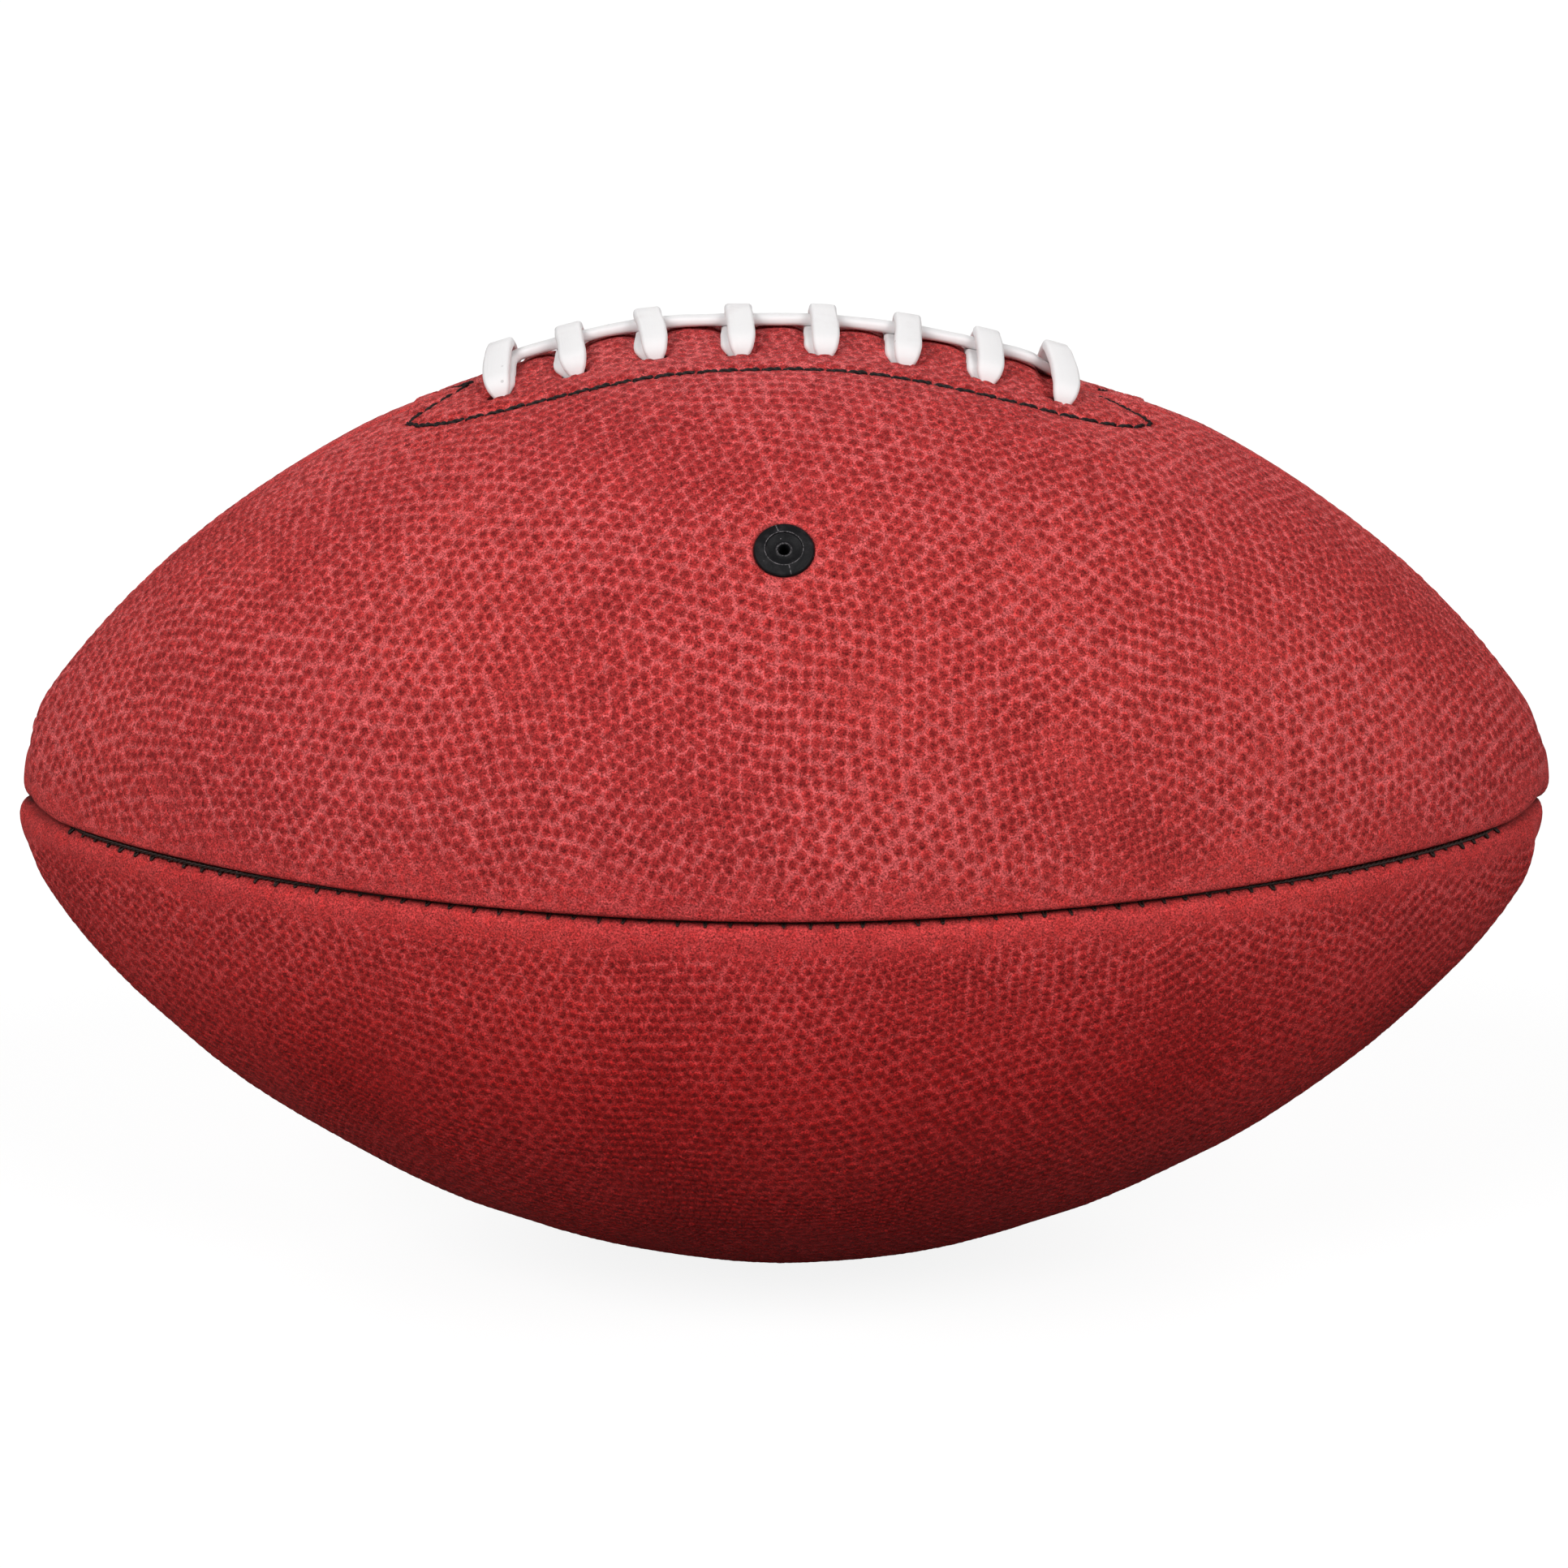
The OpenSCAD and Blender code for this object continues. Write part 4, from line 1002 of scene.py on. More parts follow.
def lace_mesh(width):
    """One strap of a rounded flat section carried along the softened path through its rings. Its width and
    thickness wander by a few hundredths, as a sum of sine waves, and its flat sides are crowned as a parabola."""
    rings = lace_rings(width)
    points, wides = (np.array([ring[k] for ring in rings]) for k in (0, 1))
    widths = np.array([ring[2] for ring in rings])
    length = np.concatenate([[0], np.cumsum(np.linalg.norm(np.diff(points, axis=0), axis=1))])
    d = np.arange(0, length[-1], STRAP_STEP)
    table = np.concatenate([points, wides, widths[:, None]], 1)
    rows = np.stack([np.interp(d, length, column) for column in table.T], -1)
    rows = np.concatenate([soften(rows[:, :6], PATH_SOFTENING), soften(rows[:, 6:], WIDTH_SOFTENING)], -1)
    across, up = section_frames(rows[:, :3], rows[:, 3:6])
    wander = sum(np.sin(d * pace + phase) for pace, phase in WANDER_WAVES)[:, None]
    half_w = rows[:, 6:] / 2 * (1 + WANDER_WIDTH * wander)
    half_t = LACE_T / 2 * (1 + WANDER_THICKNESS * np.roll(wander, WANDER_OFFSET, 0))
    sign, arc = strap_section()
    u, v = (sign[:, k] * (half - STRAP_CORNER) + STRAP_CORNER * arc[:, k]
            for k, half in enumerate((half_w, half_t)))
    v = v + STRAP_CROWN * np.sign(v) * (1 - (u / half_w) ** 2)
    body = rows[:, None, :3] + u[..., None] * across[:, None] + v[..., None] * up[:, None]
    index = np.arange(body[..., 0].size).reshape(body.shape[:2])
    faces = [grid_faces(index, wrap_v=True)[:, ::-1], np.stack([index[0, ::-1], index[-1]])]
    return body.reshape(-1, 3), faces, {"along": np.repeat(d, index.shape[1]), "across": u.ravel()}


# Threads

THREAD_STEPS = 11

# Stitches round the facing: drawn shift, length in pitches with its drawn range, slant, height, dive at the ends,
# twist in turns, distance of the plies from the middle, and their radius with its gain there
STITCH_SEED = 7
STITCH_SHIFT = 0.02
STITCH_LEN = 1.02
STITCH_LEN_RANGE = (-0.05, 0.03)
STITCH_SLANT = 0.3
STITCH_SLANT_RANGE = 0.1
STITCH_HEIGHT = 0.3
STITCH_HEIGHT_RANGE = 0.06
STITCH_DIVE = 0.8
STITCH_DIVE_POWER = 10
STITCH_TWIST = 1.3
STITCH_PLY_OFFSET = 0.19
STITCH_PLY_R = 0.21
STITCH_PLY_GAIN = 0.05

# Cord of a seam: step, length of one twist, depth, place across, distance and radius of its plies, each with its
# gain towards the tips of a side seam, where the cord rises
THREAD_SEED = 61
CORD_STEP = 0.4
CORD_TWIST = 2.4
RISE_FROM = 55
RISE_RUN = 50
RISE_END = 5
CORD_DEPTH, CORD_DEPTH_LOSS = 1.85, 0.8
CORD_ACROSS, CORD_ACROSS_GAIN = 0.13, 0.2
CORD_PLY_OFFSET, CORD_PLY_OFFSET_GAIN = 0.12, 0.07
CORD_PLY_R, CORD_PLY_R_GAIN = 0.14, 0.09

# Loops on the lip of a seam: room at its ends, drawn shift, reach, half length, lean and radius, each with its
# drawn range, their growth towards the tips, and how they lie over the leather
LOOP_ROOM = 0.5
LOOP_TABLE = 4000
LOOP_SHIFT = 0.12
LOOP_REACH, LOOP_REACH_RANGE = 0.78, 0.2
LOOP_HALF, LOOP_HALF_RANGE = 0.32, (-0.1, 0.12)
LOOP_LEAN = 0.3
LOOP_R, LOOP_R_RANGE = 0.14, 0.05
LOOP_SWELL = 0.5
LOOP_SWELL_POWER = 1.7
LOOP_FROM = 0.12
LOOP_DEEPEST = 1.75
LOOP_OVER = 0.07
LOOP_SIDE = (0.3, 0.2, 1.0)
LOOP_STEP = 0.3


def facing_stitch_mesh(pitch, side_y, seed):
    """Stitches round the facing: each is two twisted plies that lie slightly slanted on the leather and dive into
    it at both ends, as the tenth power of the distance from its middle."""
    line = stitch_line()
    marks = np.concatenate([[0], np.cumsum(np.linalg.norm(np.diff(line, axis=0), axis=1))])
    count = int(marks[-1] / pitch)
    draw = np.random.default_rng(STITCH_SEED + (side_y > 0))
    t = np.linspace(0, 1, THREAD_STEPS)
    start = np.arange(count)[:, None] + draw.uniform(-STITCH_SHIFT, STITCH_SHIFT, (count, 1))
    d = (start + t * (STITCH_LEN + draw.uniform(*STITCH_LEN_RANGE, (count, 1)))) * pitch
    x, s = (np.interp(d, marks, line[:, k]) for k in (0, 1))
    way = unit(np.stack([np.gradient(x, axis=1), np.gradient(s, axis=1)], -1))
    slant = STITCH_SLANT + draw.uniform(-STITCH_SLANT_RANGE, STITCH_SLANT_RANGE, (count, 1))
    slant = slant * (2 * t - 1) * side_y
    x, s = x + LACING_X - slant * way[..., 1], s + slant * way[..., 0]
    p = p_of(x)
    theta = s / at(p, "r")
    leather = relief(p.ravel(), theta.ravel(), True, [], seed).reshape(p.shape)
    height = leather + STITCH_HEIGHT - STITCH_DIVE * np.abs(2 * t - 1) ** STITCH_DIVE_POWER
    height += draw.uniform(-STITCH_HEIGHT_RANGE, STITCH_HEIGHT_RANGE, (count, 1))
    path = skin(p, theta, -height, True)
    out = unit(skin(p, theta, -1.0, True) - skin(p, theta, 0.0, True))
    across = unit(np.cross(np.gradient(path, axis=1), out))
    twist = (TURN * STITCH_TWIST * t + draw.uniform(0, TURN, (count, 1)))[..., None]
    plies = [path + STITCH_PLY_OFFSET * (np.cos(twist + half) * across + np.sin(twist + half) * out)
             for half in (0, math.pi)]
    thick = np.broadcast_to(STITCH_PLY_R + STITCH_PLY_GAIN * np.sin(math.pi * t), (2 * count, len(t)))
    points, faces, step = tubes(np.concatenate(plies), np.concatenate([across, across]), thick, 6)
    points[:, 1] *= side_y
    return points, [face[:, ::-1] if side_y < 0 else face for face in faces], {"along": t[step] * pitch}


def seam_frame(p, depth, across, laced):
    """Point in the seam over the +Z side of the ball: on the outline, a depth in and a distance across."""
    x = at(p, "x")
    z = at(p, "r") - depth * at(p, "nr") - (dip(x, 0) if laced else 0)
    return np.stack([x - depth * at(p, "nx"), across + 0 * x, z], -1)


def roll_depth(across, roll):
    """Depth of a rolled edge at a distance from the seam: a quarter circle."""
    share = 1 - np.clip((across - SEAM_GAP) / roll, 0, 1)
    return roll * (1 - np.sqrt(1 - share * share))


def cord_tubes(p, laced, risen, on_side):
    """Cord of two twisted plies in the valley of a seam, which grows and rises where the risen share does."""
    twist = TURN * p / CORD_TWIST
    depth = CORD_DEPTH - CORD_DEPTH_LOSS * risen
    across = -CORD_ACROSS * on_side - CORD_ACROSS_GAIN * risen
    offset = CORD_PLY_OFFSET + CORD_PLY_OFFSET_GAIN * risen
    plies = np.concatenate([seam_frame(p, depth + offset * np.sin(twist + half),
                                       across + offset * np.cos(twist + half), laced) for half in (0, math.pi)])
    side = np.broadcast_to(np.array([0.0, 1.0, 0.0]), plies.shape)
    return tubes(plies, side, np.tile(CORD_PLY_R + CORD_PLY_R_GAIN * risen, (2, 1)), 6)


def loop_tubes(spots, laced, draw):
    """Short bent threads on the lip of a seam: each reaches out as a parabola and follows the rolled edge."""
    size = (len(spots), 1)
    spots = spots[:, None] + draw.uniform(-LOOP_SHIFT, LOOP_SHIFT, size)
    t = np.linspace(0, 1, THREAD_STEPS)
    peak = 1 - np.abs(2 * t - 1) ** 2
    swell = 1 + LOOP_SWELL * (spots / P_END) ** 2
    reach = (LOOP_REACH + draw.uniform(-LOOP_REACH_RANGE, LOOP_REACH_RANGE, size)) * swell ** LOOP_SWELL_POWER
    half = (LOOP_HALF + draw.uniform(*LOOP_HALF_RANGE, size)) * swell
    lean = draw.uniform(-LOOP_LEAN, LOOP_LEAN, size)
    across = LOOP_FROM + (reach - LOOP_FROM) * peak
    depth = np.minimum(roll_depth(across, ROLL_R), LOOP_DEEPEST) - LOOP_OVER
    bent = seam_frame(spots + half * (2 * t - 1) + lean * peak, depth, -across, laced)
    thick = np.broadcast_to((LOOP_R + draw.uniform(0, LOOP_R_RANGE, size)) * swell, bent.shape[:2])
    return tubes(bent, np.broadcast_to(np.array(LOOP_SIDE), bent.shape), thick, 5)


def seam_thread_mesh(start, end, pitch, laced, turn, lean_way, seed):
    """Thread of one seam: a cord deep in the valley, which rises towards the tips of a side seam, and a loop on one
    lip at each pull of the leather. The way of leaning is 1 or -1 on a side seam and 0 on the others."""
    p = np.arange(p_of(start), p_of(end), CORD_STEP)[None]
    x = np.abs(at(p, "x"))
    on_side = abs(lean_way)
    risen = smooth((x - RISE_FROM) / RISE_RUN) * smooth((SEAM_REACH - x) / RISE_END) * on_side
    line = np.linspace(p_of(start) + LOOP_ROOM, p_of(end) - LOOP_ROOM, LOOP_TABLE)
    knots = knot_number(line, pitch)
    spots = np.interp(np.arange(math.ceil(knots[0]), math.floor(knots[-1]) + 1), knots, line)
    parts = [cord_tubes(p, laced, risen, on_side), loop_tubes(spots, laced, np.random.default_rng(seed))]
    points = np.concatenate([part[0] for part in parts])
    faces = [part[1][k] + first for k in (0, 1) for part, first in zip(parts, (0, len(parts[0][0])))]
    if lean_way < 0:
        points = points * (1, -1, 1)
        faces = [group[:, ::-1] for group in faces]
    c, s = math.cos(turn), math.sin(turn)
    points = points @ np.array([[1, 0, 0], [0, c, s], [0, -s, c]])
    along = [part[2] * step for part, step in zip(parts, (CORD_STEP, LOOP_STEP))]
    return points, faces, {"along": np.concatenate(along)}


# Valve

# Steps round the head and the core, and the clearance between them
HEAD_STEPS = 320
CORE_STEPS = 128
CORE_CLEAR = 0.03

# Stem: thin raised ring round the core as distance from the hole and height, with its dust, the dome's height and
# fall, the rounded rim, the radius and heights of neck and foot, and a step of the hole's wall
LIP = ((0.0, 0.1), (0.0, 0.3), (0.03, 0.37), (0.09, 0.39), (0.15, 0.36), (0.2, 0.31))
LIP_DUST = (0.3, 0.9, 0.8, 0.3)
DOME_RISE = 0.31
DOME_FALL = 0.28
RIM_R = 0.55
RIM_H = -0.52
RIM_TURN = (0.25, 1.57)
HEAD_END = -1.25
NECK_R_SHARE = 0.4
NECK = (-2.25, -7.1)
FOOT_R = 10.0
FOOT = (-7.4, -8.1)
HOLE_STEP = -4.0

# Core: inset and height of its rim, depth of the dish, room for the collar, the collar as distance from the bore
# and height, with its dust, and the foot of the core
CORE_INSET = 0.1
CORE_RIM = 0.12
DISH_RISE = 0.22
DISH_DEPTH = 0.5
COLLAR_ROOM = 0.5
COLLAR = ((0.42, -0.24), (0.32, -0.13), (0.2, -0.1), (0.08, -0.13), (0.0, -0.24))
COLLAR_DUST = (0.35, 0.5, 0.35)
CORE_END = -12.6

# Mould lines: directions, start and end along the radius, each with its run, and size
MOULD_RAYS = (1.86, -1.32)
MOULD_FROM = (3.15, 0.1)
MOULD_TO = (4.7, 0.2)
MOULD_SIZE = 0.07


def lathe(profile, steps, lift=None):
    """Solid of revolution about the valve's axis from a closed profile of radius and height. A lift function adds
    a height by radius and turn."""
    a = np.arange(steps) * TURN / steps
    r, z = np.asarray(profile, float).T
    height = np.broadcast_to(z, (steps, len(z))) + (lift(r, a[:, None]) if lift else 0)
    points = np.stack([r * np.cos(a)[:, None], r * np.sin(a)[:, None], height], -1)
    index = np.arange(points[..., 0].size).reshape(points.shape[:2])
    return points.reshape(-1, 3), [grid_faces(index, wrap_u=True, wrap_v=True)], index


def at_valve(points):
    """Turns points drawn about +Z, with zero on the leather, into the valve's place."""
    c, s = math.cos(VALVE_ANGLE), math.sin(VALVE_ANGLE)
    x, y, z = points[:, 0], points[:, 1], points[:, 2] + BALL_R
    return np.stack([x, c * y - s * z, s * y + c * z], -1)


def mould_lines(r, a):
    """Height of the two thin mould lines on the valve's head: a bell curve of the distance to each ray."""
    on_head = smooth((r - MOULD_FROM[0]) / MOULD_FROM[1]) * (1 - smooth((r - MOULD_TO[0]) / MOULD_TO[1]))
    rays = sum(bell(r * np.angle(np.exp(1j * (a - ray))), MOULD_SIZE) for ray in MOULD_RAYS)
    return MOULD_SIZE * rays * on_head


def stem_mesh(head_d, core_d):
    """Valve stem: a low domed head with a rounded rim and a thin raised ring round the core, a neck, and a foot
    inside the bladder."""
    head, hole, neck = head_d / 2, core_d / 2 + CORE_CLEAR, head_d * NECK_R_SHARE
    lip = LIP[-1][0]
    ring = [(hole + out, z) for out, z in LIP]
    dome = [(hole + lip + (head - RIM_R - hole - lip) * k, DOME_RISE - DOME_FALL * k ** 1.5)
            for k in np.linspace(0, 1, 9)[1:]]
    rim = [(head - RIM_R + RIM_R * math.sin(f), RIM_H + RIM_R * math.cos(f)) for f in np.linspace(*RIM_TURN, 7)]
    below = [(head, HEAD_END), (neck, NECK[0]), (neck, NECK[1]), (FOOT_R, FOOT[0]), (FOOT_R, FOOT[1]),
             (hole, FOOT[1]), (hole, HOLE_STEP)]
    points, faces, index = lathe(ring + dome + rim + below, HEAD_STEPS, mould_lines)
    dust = np.zeros(index.shape)
    dust[:, 1:5] = LIP_DUST
    a = np.arange(HEAD_STEPS) * TURN / HEAD_STEPS
    r = np.linalg.norm(points[:, :2], axis=1).reshape(index.shape)
    dust = np.maximum(dust, mould_lines(r, a[:, None]) / MOULD_SIZE)
    return at_valve(points), faces, {"dust": dust.ravel()}


def core_mesh(core_d, needle_d):
    """Valve core: a dished disc with a low collar round the needle bore, which runs right through."""
    r, bore = core_d / 2, needle_d / 2
    edge = r - CORE_INSET
    dish = [(edge - (edge - bore - COLLAR_ROOM) * k, DISH_RISE - DISH_DEPTH * math.sin(k * math.pi / 2))
            for k in np.linspace(0, 1, 8)]
    collar = [(bore + out, z) for out, z in COLLAR]
    rest = [(bore, -3.0), (bore, -8.0), (bore, CORE_END), (r, CORE_END), (r, -6.0), (r, CORE_RIM)]
    points, faces, index = lathe(dish + collar + rest, CORE_STEPS)
    dust = np.zeros(index.shape)
    dust[:, len(dish) + 1:len(dish) + 4] = COLLAR_DUST
    return at_valve(points), [faces[0][:, ::-1]], {"dust": dust.ravel()}


# Materials

# Noise patterns as scale per metre, detail and roughness, and the band in which most of a noise lies
PATCHES = (16.0, 3.0, 0.55)
CLOUDS = (110.0, 3.0, 0.6)
CELL_TONES = (260.0, 1.0)
RAGGED_WAVES = (800.0, 3.0)
LACE_STREAKS = (2.2, 3.0, 0.6)
LACE_STAINS = (130.0, 3.0, 0.6)
LACE_GRAIN = (900.0, 3.0)
FILAMENTS = (4200.0, 2.0)
THREAD_WAVES = (5.0, 2.0)
RUBBER_GRAIN = (3500.0, 3.0, 0.6)
RUBBER_SMEARS = (420.0, 3.0, 0.6)
CLOTH_WAVES = (300.0, 2.0)
MOTTLE = (190.0, 4.0, 0.6)
BAND_OF_NOISE = (0.3, 0.7)


def feed(tree, value, socket):
    """Links a value from another node to a socket, or sets a plain one on it."""
    if isinstance(value, bpy.types.NodeSocket):
        tree.links.new(value, socket)
    else:
        socket.default_value = value


def add(tree, kind, inputs=None, **settings):
    """Adds a shader node, sets its settings, and links or sets its inputs."""
    node = tree.nodes.new("ShaderNode" + kind)
    for key, value in settings.items():
        setattr(node, key, value)
    for key, value in (inputs or {}).items():
        feed(tree, value, node.inputs[key])
    return node


def calc(tree, operation, a, b=0.0, c=0.0):
    """Result of a maths node."""
    return add(tree, "Math", {0: a, 1: b, 2: c}, operation=operation).outputs[0]


def ramp(tree, value, low, high, to_low=0.0, to_high=1.0):
    """Smooth step of a value between two levels, put out between two others."""
    return add(tree, "MapRange", {0: value, 1: low, 2: high, 3: to_low, 4: to_high},
               interpolation_type="SMOOTHSTEP").outputs[0]


def mix(tree, factor, a, b, blend="MIX"):
    """Mix of two colours by a factor."""
    node = add(tree, "Mix", {0: factor}, data_type="RGBA", blend_type=blend, clamp_result=True)
    for number, value in ((6, a), (7, b)):
        feed(tree, value if isinstance(value, bpy.types.NodeSocket) else (*value[:3], 1), node.inputs[number])
    return node.outputs[2]


def noise(tree, at_point, scale, detail=2.0, rough=0.5):
    """Noise value at a point."""
    return add(tree, "TexNoise", {"Vector": at_point, "Scale": scale, "Detail": detail,
                                  "Roughness": rough}).outputs[0]


def stretch(tree, at_point, factors):
    """Point with its three parts multiplied, so that a pattern at it is stretched."""
    return add(tree, "VectorMath", {0: at_point, 1: factors}, operation="MULTIPLY").outputs[0]


def grey(tree, level):
    """Grey of a level."""
    return add(tree, "CombineColor", {0: level, 1: level, 2: level}).outputs[0]


def value_of(tree, name):
    """Value of a point's attribute."""
    return add(tree, "Attribute", attribute_name=name).outputs["Fac"]


def place_of(tree):
    """Object coordinates in metres."""
    return add(tree, "TexCoord").outputs["Object"]


def new_group(name, inputs, outputs):
    """Empty shader node group with named number and vector sockets."""
    group = bpy.data.node_groups.new(name, "ShaderNodeTree")
    for socket, default in inputs.items():
        kind = "NodeSocketVector" if default is None else "NodeSocketFloat"
        made = group.interface.new_socket(socket, in_out="INPUT", socket_type=kind)
        if default is not None:
            made.default_value = default
    for socket in outputs:
        group.interface.new_socket(socket, in_out="OUTPUT", socket_type="NodeSocketFloat")
    return group, group.nodes.new("NodeGroupInput").outputs, group.nodes.new("NodeGroupOutput").inputs


def make_fibre_group(name):
    """Fine fibre of a surface: ridged noise at two scales gives short bright hairs, and plain noise a grain."""
    group, given, out = new_group(name, {"Place": None, "Scale": 1500.0, "Hairs": 0.5}, ("Hair", "Grain"))
    place_in = given["Place"]
    scales = {share: calc(group, "MULTIPLY", given["Scale"], share) for share in (0.3, 0.5, 0.8, 0.9)}
    first = noise(group, stretch(group, place_in, (1.0, 1.7, 0.8)), scales[0.5], 2.0, 0.65)
    second = noise(group, place_in, scales[0.9], 2.0, 0.6)
    ridges = [ramp(group, calc(group, "ABSOLUTE", calc(group, "SUBTRACT", value, 0.5)), 0.0, 0.06, 1.0, 0.0)
              for value in (first, second)]
    hairs = calc(group, "MAXIMUM", ridges[0], calc(group, "MULTIPLY", ridges[1], 0.8))
    gate = ramp(group, noise(group, place_in, scales[0.3], 2.0), 0.4, 0.6)
    feed(group, calc(group, "MULTIPLY", calc(group, "MULTIPLY", hairs, gate), given["Hairs"]), out["Hair"])
    feed(group, noise(group, place_in, scales[0.8], 4.0, 0.7), out["Grain"])
    return group


def make_speck_group(name):
    """Scattered specks of dust: near the middles of the cells of a coarse pattern, gated by noise."""
    group, given, out = new_group(name, {"Place": None, "Scale": 700.0, "Share": 0.5}, ("Speck",))
    cells = add(group, "TexVoronoi", {"Vector": given["Place"], "Scale": given["Scale"]}).outputs["Distance"]
    spot = ramp(group, cells, 0.1, 0.2, 1.0, 0.0)
    cloud = noise(group, given["Place"], calc(group, "MULTIPLY", given["Scale"], 0.37), 1.0)
    gate = calc(group, "GREATER_THAN", cloud, given["Share"])
    feed(group, calc(group, "MULTIPLY", spot, gate), out["Speck"])
    return group


GROUP_MAKERS = {"Fine Fibre": make_fibre_group, "Dust Specks": make_speck_group}


def use_group(tree, name, **inputs):
    """Outputs of a shared node group placed in a material, with its own values. The group is made the first time
    that it is asked for."""
    node = tree.nodes.new("ShaderNodeGroup")
    node.node_tree = bpy.data.node_groups.get(name) or GROUP_MAKERS[name](name)
    for key, value in inputs.items():
        feed(tree, value, node.inputs[key])
    return node.outputs


def finish_material(material, colour, roughness, height, bump, specular, sheen=0.0):
    """Closes a material: colour, roughness and bump feed a Principled shader, and plain numbers sit on it."""
    tree = material.node_tree
    normal = add(tree, "Bump", {"Height": height, "Strength": 1.0, "Distance": bump}).outputs[0]
    shader = add(tree, "BsdfPrincipled", {"Base Color": colour, "Roughness": roughness, "Normal": normal,
                                          "Specular IOR Level": specular, "Sheen Weight": sheen})
    add(tree, "OutputMaterial", {0: shader.outputs[0]})
    return material


def blank_material(name):
    """New material with nothing in its node tree, and the tree."""
    material = bpy.data.materials.new(name)
    material.use_nodes = True
    material.node_tree.nodes.clear()
    return material, material.node_tree


def shade_of(colour, factor):
    """Colour made darker or lighter by a factor."""
    return tuple(min(part * factor, 1) for part in colour[:3])


# Look of the leather: edges of the dots and lines as shares of a pebble's pitch, how ragged they are, the contrast
# and level of the grain, the heights in metres between which painted shade makes the lower side of the ball darker,
# for green and blue and then for red, and the level of the painted shade on the rolled-in edges
DOT_EDGE = (0.17, 0.39)
LINE_EDGE = (0.41, 0.53)
OFF_PEBBLE_SCALE = 0.9
RAGGED_GRAIN = 0.16
RAGGED_WAVE = 0.18
GRAIN_CONTRAST = 4.6
GRAIN_LEVEL = 1.03
PAINTED_SHADE_HEIGHTS = (-0.04, 0.016)
PAINTED_SHADE_RED_HEIGHTS = (-0.05, 0.0)
FOLD_PAINTED_SHADE = 0.2


def leather_material(colours, pitch):
    """Pebbled leather: round dark dots on the pebbles, thin paler lines between them, short pale fibres, worn and
    tinted patches, painted shade that makes the lower side of the ball darker and deeper red, and painted shade on
    the rolled-in edges, the rims and walls of the holes and the inner face. Off the pebbles, the cells of a loose
    pattern carry faint dots."""
    material, tree = blank_material("Pebbled Leather")
    here = place_of(tree)
    fine = use_group(tree, "Fine Fibre", Place=here, Scale=4000.0, Hairs=1.0)
    fade, fold = (value_of(tree, name) for name in ("fade", "fold"))
    grain = calc(tree, "SUBTRACT", fine["Grain"], 0.5)
    from_middle = add(tree, "VectorMath", {0: add(tree, "UVMap", uv_map="cell").outputs[0]},
                      operation="LENGTH").outputs["Value"]
    off_pebbles = calc(tree, "GREATER_THAN", from_middle, 2.0)
    loose = add(tree, "TexVoronoi", {"Vector": here, "Scale": OFF_PEBBLE_SCALE / pitch}).outputs["Distance"]
    spread_in = add(tree, "Mix", {0: off_pebbles, 2: from_middle, 3: loose}, data_type="FLOAT").outputs[0]
    wobble = calc(tree, "MULTIPLY_ADD", noise(tree, here, *RAGGED_WAVES), RAGGED_WAVE, -RAGGED_WAVE / 2)
    ragged = calc(tree, "ADD", calc(tree, "MULTIPLY_ADD", grain, RAGGED_GRAIN, spread_in), wobble)
    patch = noise(tree, here, *PATCHES)
    cloud = noise(tree, here, *CLOUDS)
    cell_tone = noise(tree, here, *CELL_TONES)
    shown = ramp(tree, fade, 0.0, 0.75)
    strength = calc(tree, "MULTIPLY", ramp(tree, cell_tone, *BAND_OF_NOISE, 0.65, 1.0), shown)
    dot = calc(tree, "MULTIPLY", ramp(tree, ragged, *DOT_EDGE, 1.0, 0.0), strength)
    line = calc(tree, "MULTIPLY", ramp(tree, ragged, *LINE_EDGE), ramp(tree, fade, 0.05, 0.8, 0.25, 1.0))
    line = calc(tree, "MULTIPLY", line, ramp(tree, fine["Grain"], 0.34, 0.56, 0.4, 1.0))
    colour = mix(tree, ramp(tree, patch, *BAND_OF_NOISE), colours.leather, colours.leather_warm)
    colour = mix(tree, dot, colour, colours.pebble_top)
    colour = mix(tree, calc(tree, "MULTIPLY", line, ramp(tree, cloud, *BAND_OF_NOISE, 0.6, 0.85)), colour,
                 colours.leather_line)
    hair = calc(tree, "MULTIPLY", fine["Hair"], ramp(tree, cloud, 0.35, 0.65, 0.08, 0.28))
    hair = calc(tree, "MULTIPLY", hair, calc(tree, "MULTIPLY_ADD", dot, -0.75, 1.0))
    colour = mix(tree, hair, colour, colours.leather_line)
    level = calc(tree, "MULTIPLY", calc(tree, "MULTIPLY_ADD", cloud, 0.24, 0.88),
                 calc(tree, "MULTIPLY_ADD", grain, GRAIN_CONTRAST, GRAIN_LEVEL))
    colour = mix(tree, 1.0, colour, grey(tree, level), "MULTIPLY")
    # Painted shade: the colour gets darker and deeper red towards the bottom of the ball
    level_z = add(tree, "SeparateXYZ", {0: here}).outputs["Z"]
    red, other = ramp(tree, level_z, *PAINTED_SHADE_RED_HEIGHTS, 0.85, 1.0), ramp(tree, level_z, *PAINTED_SHADE_HEIGHTS, 0.3, 1.0)
    painted_shade_below = add(tree, "CombineColor", {0: red, 1: other, 2: other}).outputs[0]
    colour = mix(tree, 1.0, colour, painted_shade_below, "MULTIPLY")
    # Painted shade: the rolled-in edges, the rims and walls of the holes and the inner face are darkened by the fold
    # value
    colour = mix(tree, ramp(tree, fold, 0.35, 1.0), colour, shade_of(colours.leather, FOLD_PAINTED_SHADE))
    rough = calc(tree, "MULTIPLY_ADD", dot, -0.06, calc(tree, "MULTIPLY_ADD", grain, 0.3, 0.6))
    height = calc(tree, "MULTIPLY_ADD", fine["Hair"], 0.3, fine["Grain"])
    return finish_material(material, colour, rough, height, bump=0.0003, specular=0.11, sheen=0.02)


